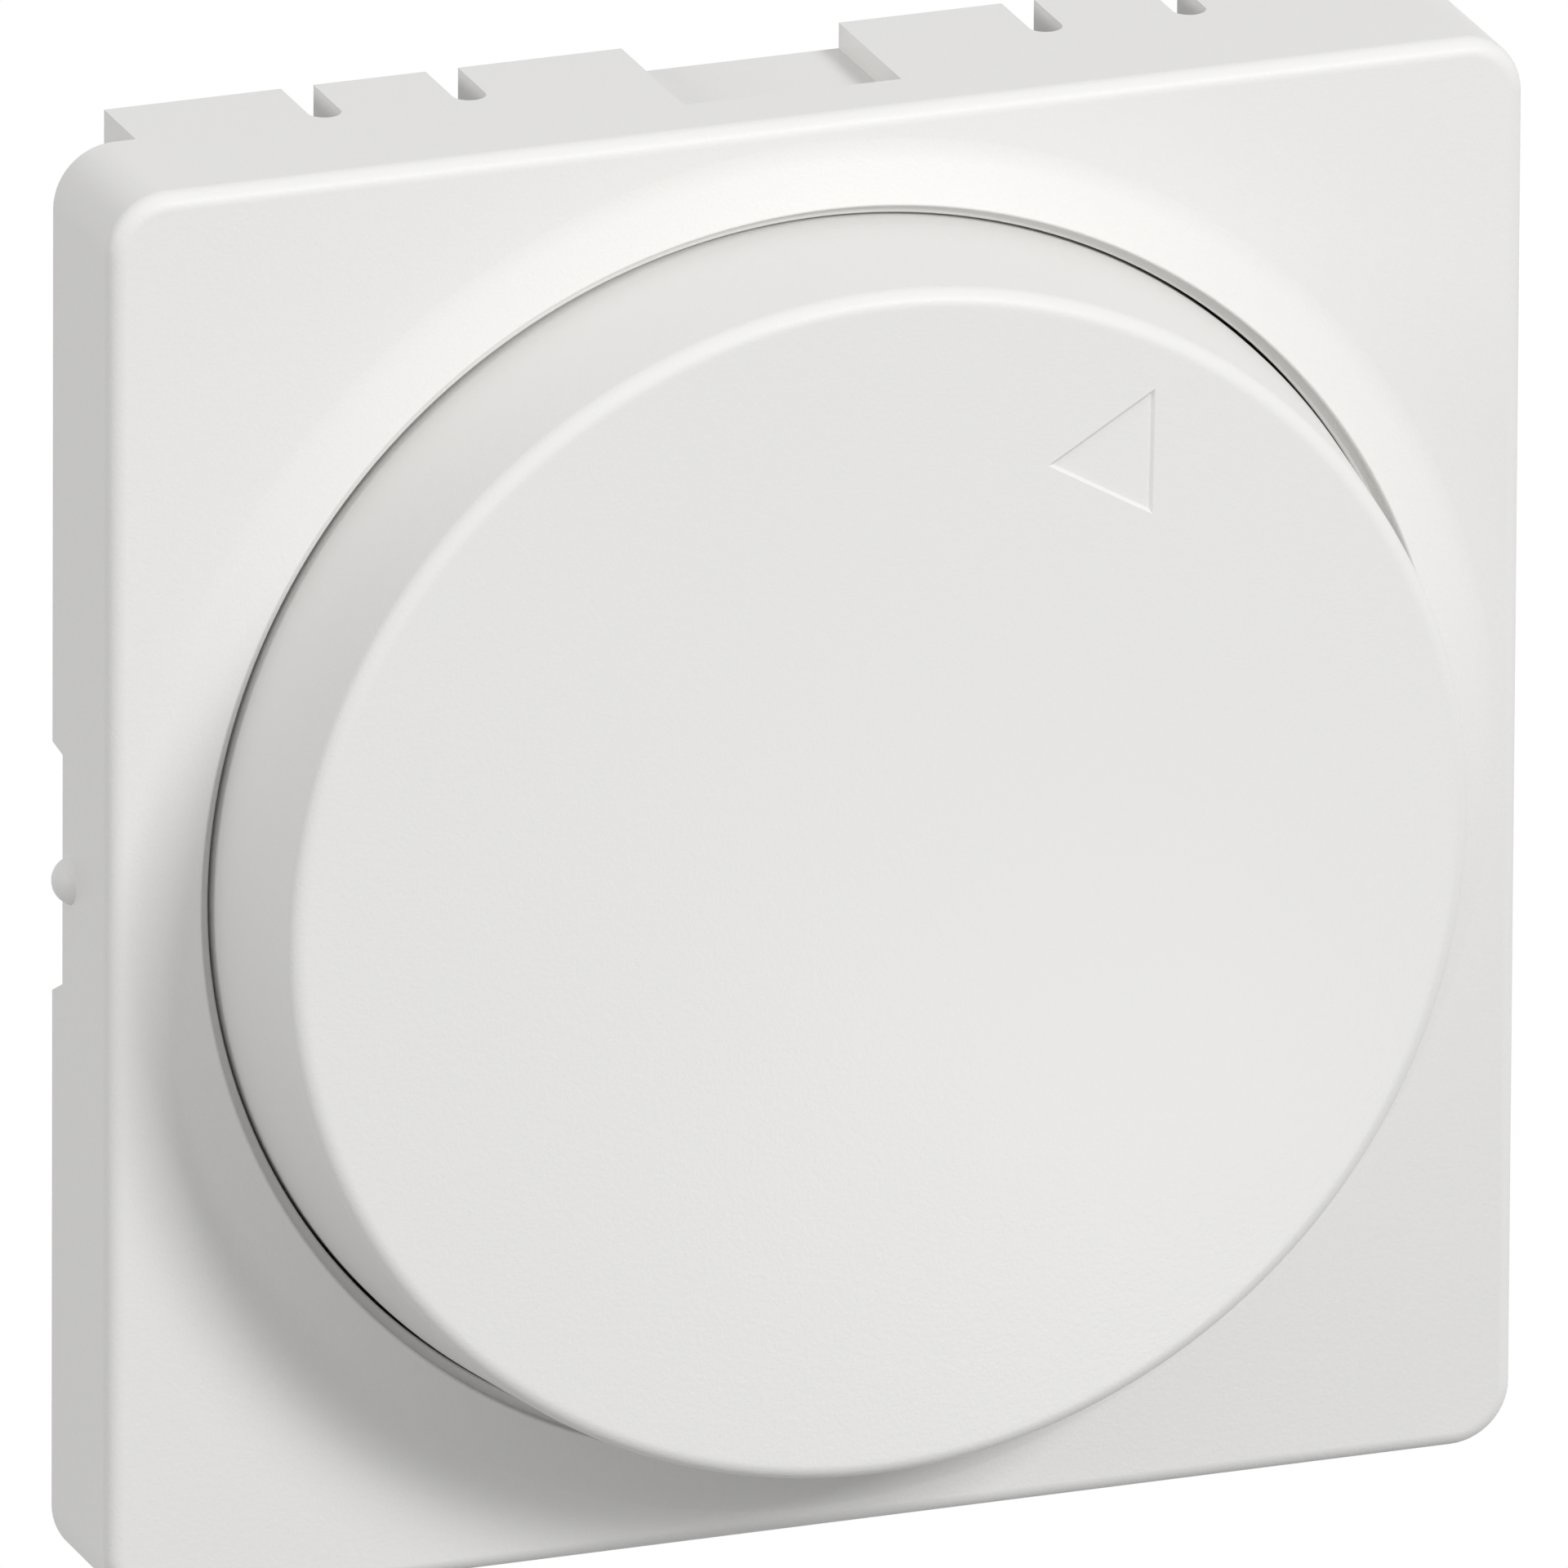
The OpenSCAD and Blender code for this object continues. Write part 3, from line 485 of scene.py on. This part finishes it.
# %% [markdown]
# The ring round the hole, the wall of the pocket that the knob turns in, and the pocket's floor
# are turned, so they are one spun section. The ring slopes down from its crest and runs out into
# the flat front in a soft curve. A low ledge just inside the hole narrows the gap round the knob, so
# that no light or dust falls through it. The front wall gets a round hole that lies inside this
# section, and then the two are joined.

# %% Cover plate: ring and pocket
HOLE = HOLE_R / MM
crest = CREST_Y / MM
POCKET_R, FLOOR_Y, FLOOR_BACK, BOSS_R = HOLE + 1.24, -3.6, -2.2, 11
FOOT_START, FOOT_END = 23.4, 24.32
LEDGE_R, LEDGE_FRONT, LEDGE_BACK = 21.61, crest + 0.45, crest + 1.3
slope = (face - crest) / ((FOOT_START + FOOT_END) / 2 - HOLE - 0.1)
section = [(5.05, -1), (5.05, FLOOR_Y)] + arc((HOLE - 0.4, FLOOR_Y - 0.4), 0.4, 90, 0, 5)
section += [(HOLE, LEDGE_BACK + 0.1), (LEDGE_R, LEDGE_BACK), (LEDGE_R, LEDGE_FRONT + 0.05)]
section += [(LEDGE_R + 0.05, LEDGE_FRONT), (HOLE, LEDGE_FRONT)]
section += arc((HOLE + 0.1, crest + 0.1), 0.1, 180, 270, 6)
for k in range(9):
    t = k / 8
    fall = slope * (1 - t) ** 2 * (FOOT_END - FOOT_START) / 2
    section.append((FOOT_START + t * (FOOT_END - FOOT_START), face - fall + 0.004 * t))
section += [(FOOT_END, face + 0.7), (POCKET_R, face + 0.7)]
section += arc((POCKET_R - 0.5, FLOOR_BACK - 0.5), 0.5, 0, 90, 5)
section += [(BOSS_R, FLOOR_BACK), (BOSS_R, -1)]
carve(cover, [spun([(0, crest - 1), (HOLE + 0.6, crest - 1), (HOLE + 0.6, front_back + 1),
                    (0, front_back + 1)])], "DIFFERENCE")
carve(cover, [spun(section, steps=240, closed=True)], "UNION")

# %% [markdown]
# A small round nub on each side snaps into the surrounding frame. It is a ball of which only a
# shallow cap stands out of the rim, so a sphere is sunk into the wall and joined to it.

# %% Cover plate: snap nubs
NUB_R, NUB_PLACE = 0.85, Vector((24.7, face + 4.05, -0.25))
nubs = []
for side in (-1, 1):
    bm = bmesh.new()
    bmesh.ops.create_uvsphere(bm, u_segments=32, v_segments=20, radius=NUB_R * MM)
    bmesh.ops.translate(bm, verts=bm.verts, vec=NUB_PLACE * Vector((side, 1, 1)) * MM)
    nubs.append(bm)
carve(cover, nubs, "UNION")
smooth(cover, 32)
hold_flats(cover)
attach(cover, "insert")
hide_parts("cover_plate")

# %% [markdown]
# Several finishes share the same small effects, so each effect is a node group, built once. The
# first is the skin of a moulded plastic: a very fine grain that the mould's steel leaves, and slow
# patches where the surface came out a little shinier. The second is the fine lines of turned or
# rolled metal with the dull patches that fingers leave. The third scatters a few specks of dust.

# %% Helper for node groups
def new_group(name, inputs, outputs):
    """An empty node group with named sockets, and its input and output nodes."""
    group = bpy.data.node_groups.new(name, "ShaderNodeTree")
    for label, kind, value in inputs:
        socket = group.interface.new_socket(label, in_out="INPUT", socket_type="NodeSocket" + kind)
        if value is not None:
            socket.default_value = value
    for label, kind in outputs:
        group.interface.new_socket(label, in_out="OUTPUT", socket_type="NodeSocket" + kind)
    return group, group.nodes.new("NodeGroupInput"), group.nodes.new("NodeGroupOutput")


def wire_up(tree, *pairs):
    """Links each pair of an output socket and an input socket."""
    for source, target in pairs:
        tree.links.new(source, target)


# %% [markdown]
# The grain of a moulded skin is a fine noise that becomes height, and the patches are a broad noise
# that later shifts the shine. A painted picture could hold both, but noise needs no picture, has
# no seams, and stays sharp at any distance.

# %% Moulded grain
grain_group, inner, outer = new_group(
    "moulded_grain",
    [("Place", "Vector", None), ("Grain Size", "Float", 9000.0), ("Patch Size", "Float", 90.0)],
    [("Height", "Float"), ("Patches", "Float")],
)
fine = add(grain_group, "TexNoise", Detail=3.0, Roughness=0.6)
broad = add(grain_group, "TexNoise", Detail=2.0, Roughness=0.5)
wire_up(
    grain_group,
    (inner.outputs["Place"], fine.inputs["Vector"]),
    (inner.outputs["Place"], broad.inputs["Vector"]),
    (inner.outputs["Grain Size"], fine.inputs["Scale"]),
    (inner.outputs["Patch Size"], broad.inputs["Scale"]),
    (fine.outputs[0], outer.inputs["Height"]),
    (broad.outputs[0], outer.inputs["Patches"]),
)

# %% [markdown]
# Metal keeps the marks of the tool that shaped it. Fine lines come from a noise that is stretched
# many times along one direction, and a cloudier noise dulls the metal where hands and plating left
# it uneven. The same group serves turned, rolled and plated pieces with other values.

# %% Worked metal
metal_group, inner, outer = new_group(
    "worked_metal",
    [("Place", "Vector", None), ("Stretch", "Vector", (1, 40, 1)), ("Line Size", "Float", 700.0)],
    [("Height", "Float"), ("Dullness", "Float")],
)
stretched = add(metal_group, "VectorMath", operation="MULTIPLY")
lines = add(metal_group, "TexNoise", Detail=4.0, Roughness=0.7)
cloud = add(metal_group, "TexNoise", Scale=260.0, Detail=4.0, Roughness=0.6)
wire_up(
    metal_group,
    (inner.outputs["Place"], stretched.inputs[0]),
    (inner.outputs["Stretch"], stretched.inputs[1]),
    (stretched.outputs[0], lines.inputs["Vector"]),
    (inner.outputs["Line Size"], lines.inputs["Scale"]),
    (inner.outputs["Place"], cloud.inputs["Vector"]),
    (lines.outputs[0], outer.inputs["Height"]),
    (cloud.outputs[0], outer.inputs["Dullness"]),
)

# %% [markdown]
# White plastic never stays spotless: a few dark specks of dust or burnt resin sit in it. Cells of a
# Voronoi pattern give each speck its own place, and a threshold on the cell's random colour keeps
# only a few of them, so the surface looks clean at first sight.

# %% Dust specks
dust_group, inner, outer = new_group(
    "dust_specks",
    [("Place", "Vector", None), ("Spacing", "Float", 130.0), ("Speck Size", "Float", 0.014)],
    [("Specks", "Float")],
)
cells = add(dust_group, "TexVoronoi", feature="F1")
near = add(dust_group, "Math", operation="LESS_THAN")
chosen = add(dust_group, "SeparateColor")
lucky = add(dust_group, "Math", operation="GREATER_THAN")
lucky.inputs[1].default_value = 0.72
both = add(dust_group, "Math", operation="MULTIPLY")
wire_up(
    dust_group,
    (inner.outputs["Place"], cells.inputs["Vector"]),
    (inner.outputs["Spacing"], cells.inputs["Scale"]),
    (cells.outputs["Distance"], near.inputs[0]),
    (inner.outputs["Speck Size"], near.inputs[1]),
    (cells.outputs["Color"], chosen.inputs[0]),
    (chosen.outputs[0], lucky.inputs[0]),
    (near.outputs[0], both.inputs[0]),
    (lucky.outputs[0], both.inputs[1]),
    (both.outputs[0], outer.inputs["Specks"]),
)

# %% [markdown]
# From these come two kinds of finish. A plastic is a body colour that drifts a little towards a
# second one, a roughness that follows the same patches, and the grain as a bump of a few
# thousandths of a millimetre. A metal has the same build, with its lines as the bump and its
# dull patches in the roughness. Every number that is the same all over is set on the shader.

# %% Makers of plastic and metal finishes
def place_of(tree):
    return add(tree, "TexCoord").outputs["Object"]


def between(tree, factor, low, high):
    """A value that runs from low to high as the factor runs from 0.2 to 0.8."""
    span = add(tree, "MapRange", From_Min=0.2, From_Max=0.8, To_Min=low, To_Max=high)
    span.interpolation_type = "SMOOTHSTEP"
    tree.links.new(factor, span.inputs["Value"])
    return span.outputs[0]


def blend_colours(tree, factor, first, second):
    mix = add(tree, "Mix", data_type="RGBA")
    for socket, value in ((mix.inputs[6], first), (mix.inputs[7], second)):
        if isinstance(value, tuple):
            socket.default_value = (*value, 1)
        else:
            tree.links.new(value, socket)
    tree.links.new(factor, mix.inputs[0])
    return mix.outputs[2]


def bump(tree, height, depth_mm, strength=1.0):
    node = add(tree, "Bump", Strength=strength, Distance=depth_mm * MM)
    tree.links.new(height, node.inputs["Height"])
    return node.outputs[0]


def plastic(name, colour, drift, rough=0.35, depth=0.002, grain=9000.0, patch=90.0, spread=0.06):
    """A moulded plastic. It returns the material."""
    material, tree, output = new_material(name)
    skin = add(tree, "BsdfPrincipled", IOR=1.5)
    effect = add(tree, "Group", node_tree=grain_group, Grain_Size=grain, Patch_Size=patch)
    wire_up(
        tree,
        (place_of(tree), effect.inputs["Place"]),
        (blend_colours(tree, effect.outputs["Patches"], colour, drift), skin.inputs["Base Color"]),
        (between(tree, effect.outputs["Patches"], rough - spread, rough + spread),
         skin.inputs["Roughness"]),
        (bump(tree, effect.outputs["Height"], depth), skin.inputs["Normal"]),
        (skin.outputs[0], output.inputs[0]),
    )
    return material


def metal(name, colour, drift, rough=0.3, stretch=(1, 40, 1), size=700.0, depth=0.001, spread=0.09):
    """A worked metal whose fine lines run across the stretched axis."""
    material, tree, output = new_material(name)
    skin = add(tree, "BsdfPrincipled", Metallic=1.0)
    effect = add(tree, "Group", node_tree=metal_group, Stretch=stretch, Line_Size=size)
    wire_up(
        tree,
        (place_of(tree), effect.inputs["Place"]),
        (blend_colours(tree, effect.outputs["Dullness"], colour, drift), skin.inputs["Base Color"]),
        (between(tree, effect.outputs["Dullness"], rough - spread, rough + spread),
         skin.inputs["Roughness"]),
        (bump(tree, effect.outputs["Height"], depth), skin.inputs["Normal"]),
        (skin.outputs[0], output.inputs[0]),
    )
    return material


def shader_of(material):
    return next(n for n in material.node_tree.nodes if n.type == "BSDF_PRINCIPLED")


def recolour(material, mask, colour):
    """Lays a second colour over the body colour where a mask is 1."""
    tree = material.node_tree
    socket = shader_of(material).inputs["Base Color"]
    under = socket.links[0].from_socket
    tree.links.new(blend_colours(tree, mask, under, colour), socket)


def dress(piece, material):
    """Puts a material on a piece or on a node's object."""
    piece.data.materials.clear()
    piece.data.materials.append(material)


# %% [markdown]
# The white of the plate and the knob is the finish that everybody sees. It is a warm neutral
# white with a satin shine. Its grain is about a tenth of a millimetre, which shows in the shade
# beside the knob, and a few dark specks of dust sit on it, as on any part that has been handled.

# %% White moulded finish
def white_moulding(name, drift):
    material = plastic(name, (0.80, 0.795, 0.78), drift, rough=0.38, depth=0.011, grain=6500.0,
                       patch=70.0, spread=0.02)
    tree = material.node_tree
    shader_of(material).inputs["Specular IOR Level"].default_value = 0.15
    specks = add(tree, "Group", node_tree=dust_group)
    tree.links.new(place_of(tree), specks.inputs["Place"])
    recolour(material, specks.outputs["Specks"], (0.33, 0.32, 0.30))
    return material


dress(cover, white_moulding("cover_white", (0.81, 0.805, 0.79)))
dress(knob, white_moulding("knob_white", (0.805, 0.80, 0.787)))

# %% [markdown]
# The pieces behind the cover come straight from the frame, with a finish each. Most of them have
# sharp CAD edges, so a copy is made with its triangles joined again into whole faces, and a small
# bevel rounds its edges the way a mould, a punch or a saw leaves them. The copy stands for the
# node. Pieces whose shape is already all curves keep the frame's own mesh.

# %% Helper for softened copies
def softened(node, body, radius, segments=2, angle=35):
    """A copy of a CAD node with joined faces and small rounded edges."""
    bm = bmesh.new()
    bm.from_mesh(frame["nodes"][node].data)
    bmesh.ops.remove_doubles(bm, verts=bm.verts, dist=0.001 * MM)
    bmesh.ops.dissolve_limit(bm, angle_limit=math.radians(0.5), verts=bm.verts, edges=bm.edges)
    mesh = bpy.data.meshes.new(node + "_softened")
    bm.to_mesh(mesh)
    bm.free()
    piece = bpy.data.objects.new(node + "_softened", mesh)
    bpy.context.scene.collection.objects.link(piece)
    smooth(piece, angle)
    step = piece.modifiers.new("soft_edges", "BEVEL")
    step.width = radius * MM
    step.segments = segments
    step.limit_method = "ANGLE"
    step.angle_limit = math.radians(angle)
    step.use_clamp_overlap = True
    step.harden_normals = True
    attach(piece, body)
    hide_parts(node)
    return piece


node_body = {n: b for b, members in frame["record"]["behaviour"]["bodies"].items() for n in members}
ROUNDING = {
    "support_plate": 0.12, "housing": 0.3, "circuit_board": 0.06, "terminal_block": 0.15,
    "triac": 0.12, "film_capacitor": 0.35, "timing_capacitor": 0.25, "switch_body": 0.15,
    "trimmer_body": 0.15, "choke_core": 0.1, "fuse_clips": 0.06, "terminal_clamps": 0.08,
    "contact_arm": 0.05, "lock_washer": 0.06, "housing_screws": 0.08, "terminal_screws": 0.08,
    "triac_screw": 0.1, "fixing_nut": 0.12, "knob_clip": 0.05, "switch_plunger": 0.1,
    "trimmer_rotor": 0.1, "fuse_caps": 0.08, "knob_shaft": 0.1,
}
shown = dict(frame["nodes"])
for node, radius in ROUNDING.items():
    shown[node] = softened(node, node_body[node], radius)
shown["cover_plate"], shown["knob"] = cover, knob
print("softened copies:", len(ROUNDING))

# %% [markdown]
# Wire is round, so wound pieces need no bevel, only smooth shading. A frame's mesh is loose
# triangles, each shaded flat, so a copy is made whose points are joined, and its faces shade into
# each other. The choke's winding, one enamelled copper wire of fourteen turns, is done this way.

# %% Helper for wound pieces
def wound(node, name):
    """A copy of a CAD node with joined, smoothly shaded faces. It stands for the node."""
    bm = bmesh.new()
    bm.from_mesh(frame["nodes"][node].data)
    bmesh.ops.remove_doubles(bm, verts=bm.verts, dist=0.001 * MM)
    piece = finish_mesh(bm, name, 60)
    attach(piece, node_body[node])
    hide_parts(node)
    shown[node] = piece
    print(name, len(piece.data.polygons), "faces,", check_closed(piece))
    return piece


wound("choke_winding", "wound_copper_wire")

# %% [markdown]
# The return spring pushes the switch's plunger, and the knob with it, back to the front. Its rear
# end stays on the case while its front end follows the plunger, so it can't ride on one body and
# keep its length. Its copy is given a mesh of its own.

# %% Return spring
spring = wound("return_spring", "coiled_return_spring")
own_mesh(spring)

# %% [markdown]
# Metals first. The support plate and the screws are zinc-plated steel, the nut, bushing and
# clamps are brass, and the springs are bright. Turned pieces have their lines round the axis, so
# the noise is squeezed along Y, and rolled sheet has them along one edge.

# %% Metal finishes
STEEL, STEEL_DULL = (0.66, 0.67, 0.68), (0.56, 0.57, 0.58)
BRASS, BRASS_DULL = (0.78, 0.62, 0.34), (0.66, 0.50, 0.25)
metals = {
    "support_plate": metal("zinc_sheet", STEEL, (0.58, 0.60, 0.60), 0.36, (1, 1, 30), 220.0, 0.002),
    "lock_washer": metal("washer_zinc", STEEL, STEEL_DULL, 0.34, (30, 1, 1), 300.0),
    "housing_screws": metal("housing_screw_zinc", STEEL, (0.60, 0.60, 0.56), 0.3, (1, 30, 1), 900.0),
    "triac_screw": metal("triac_screw_zinc", STEEL, STEEL_DULL, 0.32, (1, 30, 1), 900.0),
    "terminal_screws": metal("terminal_screw_zinc", STEEL, (0.62, 0.60, 0.52), 0.3, (1, 1, 30), 900.0),
    "knob_shaft": metal("shaft_steel", (0.68, 0.68, 0.68), STEEL_DULL, 0.22, (1, 30, 1), 900.0),
    "knob_clip": metal("clip_spring_steel", (0.60, 0.61, 0.63), (0.5, 0.5, 0.52), 0.25, (1, 1, 30)),
    "return_spring": metal("spring_wire", (0.62, 0.62, 0.64), (0.5, 0.5, 0.52), 0.2, (1, 8, 1)),
    "fixing_nut": metal("plated_nut", (0.74, 0.66, 0.46), (0.66, 0.58, 0.4), 0.28, (1, 20, 1)),
    "pot_bushing": metal("bushing_brass", BRASS, BRASS_DULL, 0.26, (1, 45, 1), 1200.0, 0.003),
    "pot_wiper": metal("wiper_bronze", (0.80, 0.60, 0.38), BRASS_DULL, 0.24, (1, 1, 25)),
    "contact_arm": metal("arm_brass", BRASS, BRASS_DULL, 0.28, (1, 1, 25)),
    "fixed_contact": metal("fixed_contact_brass", BRASS, (0.7, 0.55, 0.3), 0.26, (25, 1, 1)),
    "fuse_clips": metal("fuse_clip_brass", (0.76, 0.66, 0.44), BRASS_DULL, 0.25, (25, 1, 1)),
    "fuse_caps": metal("cap_nickel", (0.70, 0.68, 0.64), (0.6, 0.58, 0.54), 0.18, (30, 1, 1)),
    "terminal_clamps": metal("clamp_brass", BRASS, BRASS_DULL, 0.32, (1, 25, 1), 500.0, 0.002),
}
for node, material in metals.items():
    dress(shown[node], material)
print("metal finishes:", len(metals))

# %% [markdown]
# The plastics and ceramics follow: a grey satin housing with a coarser spark-eroded texture, black
# epoxy, the cream and blue trimmer, and the brown hard-paper wafer that carries the carbon track.

# %% Plastic finishes
plastics = {
    "housing": plastic("housing_grey", (0.43, 0.44, 0.45), (0.47, 0.48, 0.49), 0.5, 0.012, 3200.0),
    "terminal_block": plastic("block_grey", (0.52, 0.53, 0.53), (0.56, 0.57, 0.57), 0.45, 0.01, 3200.0),
    "pot_body": plastic("pot_black", (0.035, 0.035, 0.038), (0.05, 0.05, 0.05), 0.42, 0.006, 4000.0),
    "track_wafer": plastic("hard_paper", (0.30, 0.15, 0.06), (0.38, 0.21, 0.10), 0.5, 0.006, 1500.0, 400.0),
    "resistance_track": plastic("carbon_film", (0.02, 0.02, 0.02), (0.04, 0.04, 0.04), 0.6, 0.004, 5000.0),
    "pot_rotor": plastic("rotor_grey", (0.38, 0.39, 0.40), (0.43, 0.43, 0.44), 0.45, 0.006),
    "switch_body": plastic("switch_black", (0.03, 0.03, 0.032), (0.045, 0.045, 0.045), 0.4, 0.008, 4000.0),
    "switch_plunger": plastic("plunger_white", (0.76, 0.76, 0.74), (0.80, 0.79, 0.77), 0.38, 0.004),
    "triac": plastic("epoxy_black", (0.02, 0.02, 0.022), (0.035, 0.035, 0.036), 0.55, 0.01, 3500.0),
    "triac_pad": plastic("mica_pad", (0.55, 0.57, 0.58), (0.62, 0.64, 0.64), 0.5, 0.004, 1800.0, 300.0),
    "film_capacitor": plastic("film_yellow", (0.72, 0.50, 0.06), (0.78, 0.56, 0.10), 0.3, 0.01, 1600.0),
    "timing_capacitor": plastic("film_red", (0.50, 0.06, 0.03), (0.58, 0.09, 0.05), 0.28, 0.01, 1600.0),
    "choke_core": plastic("ferrite", (0.05, 0.055, 0.05), (0.09, 0.095, 0.085), 0.6, 0.015, 2500.0, 500.0),
    "trimmer_body": plastic("trimmer_cream", (0.70, 0.66, 0.52), (0.76, 0.72, 0.58), 0.4, 0.006),
    "trimmer_rotor": plastic("trimmer_blue", (0.04, 0.14, 0.42), (0.06, 0.18, 0.50), 0.35, 0.006),
}
for node, material in plastics.items():
    dress(shown[node], material)
print("plastic finishes:", len(plastics))

# %% [markdown]
# The circuit board is green solder mask over copper. Under the mask the tracks stand a little
# proud and show as a lighter green. A brick pattern with very long, low bricks gives them: its
# joints run side by side and turn at right angles now and then, as laid-out tracks do.

# %% Circuit board
board = plastic("solder_mask", (0.02, 0.13, 0.05), (0.03, 0.16, 0.06), 0.3, 0.002, 4000.0)
tree = board.node_tree
across = add(tree, "Mapping", Rotation=(math.radians(90), 0, 0))
tracks = add(tree, "TexBrick", Scale=260.0, Mortar_Size=0.07, Mortar_Smooth=0.1,
             Brick_Width=3.1, Row_Height=0.36, Color1=(0, 0, 0, 1), Color2=(0, 0, 0, 1), Mortar=(1, 1, 1, 1))
relief = add(tree, "Bump", Strength=0.8, Distance=0.03 * MM)
wire_up(
    tree,
    (place_of(tree), across.inputs[0]),
    (across.outputs[0], tracks.inputs[0]),
    (tracks.outputs["Fac"], relief.inputs["Height"]),
    (shader_of(board).inputs["Normal"].links[0].from_socket, relief.inputs["Normal"]),
    (relief.outputs[0], shader_of(board).inputs["Normal"]),
)
recolour(board, tracks.outputs["Fac"], (0.06, 0.26, 0.09))
shader_of(board).inputs["Coat Weight"].default_value = 0.3
dress(shown["circuit_board"], board)

# %% [markdown]
# Resistors and the diac are read by their bands. Each lies along X with its middle 4.6 mm from the
# axis, so the distance from that middle picks the bands: plain, without a maker's mark. Past the
# ends of the body the same piece is its tinned wire, so the metal is switched on there too.

# %% Banded bodies
def banded(name, colour, drift, half_length, bands):
    material = plastic(name, colour, drift, 0.3, 0.004, 2500.0)
    tree = material.node_tree
    split = add(tree, "SeparateXYZ")
    side = add(tree, "Math", operation="ABSOLUTE")
    shift = add(tree, "Math", operation="SUBTRACT")
    shift.inputs[1].default_value = 4.6 * MM
    wire_up(tree, (place_of(tree), split.inputs[0]), (split.outputs[0], side.inputs[0]),
            (side.outputs[0], shift.inputs[0]))
    for centre, band_colour in bands:
        band = add(tree, "Math", operation="COMPARE")
        band.inputs[1].default_value = centre * MM
        band.inputs[2].default_value = 0.2 * MM
        tree.links.new(shift.outputs[0], band.inputs[0])
        recolour(material, band.outputs[0], band_colour)
    reach = add(tree, "Math", operation="ABSOLUTE")
    lead = add(tree, "Math", operation="GREATER_THAN")
    lead.inputs[1].default_value = (half_length + 0.03) * MM
    wire_up(tree, (shift.outputs[0], reach.inputs[0]), (reach.outputs[0], lead.inputs[0]),
            (lead.outputs[0], shader_of(material).inputs["Metallic"]))
    recolour(material, lead.outputs[0], (0.66, 0.65, 0.62))
    return material


dress(shown["resistors"], banded(
    "resistor_blue", (0.10, 0.28, 0.42), (0.14, 0.33, 0.47), 3.1,
    [(-1.9, (0.55, 0.24, 0.03)), (-1.0, (0.02, 0.02, 0.02)), (-0.1, (0.50, 0.03, 0.02)),
     (1.9, (0.30, 0.12, 0.04))]))
dress(shown["diac"], banded(
    "diac_blue", (0.03, 0.10, 0.34), (0.05, 0.14, 0.40), 2.1, [(1.1, (0.03, 0.03, 0.03))]))

# %% [markdown]
# The choke's wire is copper under a clear enamel. The copper is a metal finish, and the enamel is
# the shader's coat, a thin second gloss over it, which keeps the metal's own colour underneath.

# %% Enamelled winding
winding = metal("enamelled_copper", (0.72, 0.30, 0.12), (0.60, 0.22, 0.08), 0.28, (1, 1, 1), 500.0)
shader_of(winding).inputs["Coat Weight"].default_value = 0.6
dress(shown["choke_winding"], winding)

# %% [markdown]
# The fuse's tube is clear glass. Its material is the Principled shader with full transmission, and
# a trace of roughness in patches stands for the film of handling. Real glass bends the light that
# passes through it, so the index of refraction is that of soda glass.

# %% Fuse glass
glass, tree, output = new_material("fuse_glass")
skin = add(tree, "BsdfPrincipled", Transmission_Weight=1.0, IOR=1.47, Base_Color=(0.96, 0.98, 0.97, 1))
effect = add(tree, "Group", node_tree=grain_group, Grain_Size=300.0, Patch_Size=200.0)
wire_up(
    tree,
    (place_of(tree), effect.inputs["Place"]),
    (between(tree, effect.outputs["Patches"], 0.02, 0.08), skin.inputs["Roughness"]),
    (bump(tree, effect.outputs["Height"], 0.004, 0.4), skin.inputs["Normal"]),
    (skin.outputs[0], output.inputs[0]),
)
dress(shown["fuse_tube"], glass)
bare = [n for n, piece in shown.items() if not any(m and m.users and len(m.node_tree.nodes) > 4
                                                   for m in piece.data.materials)]
print("pieces with a finish:", len(shown) - len(bare), "without:", bare)
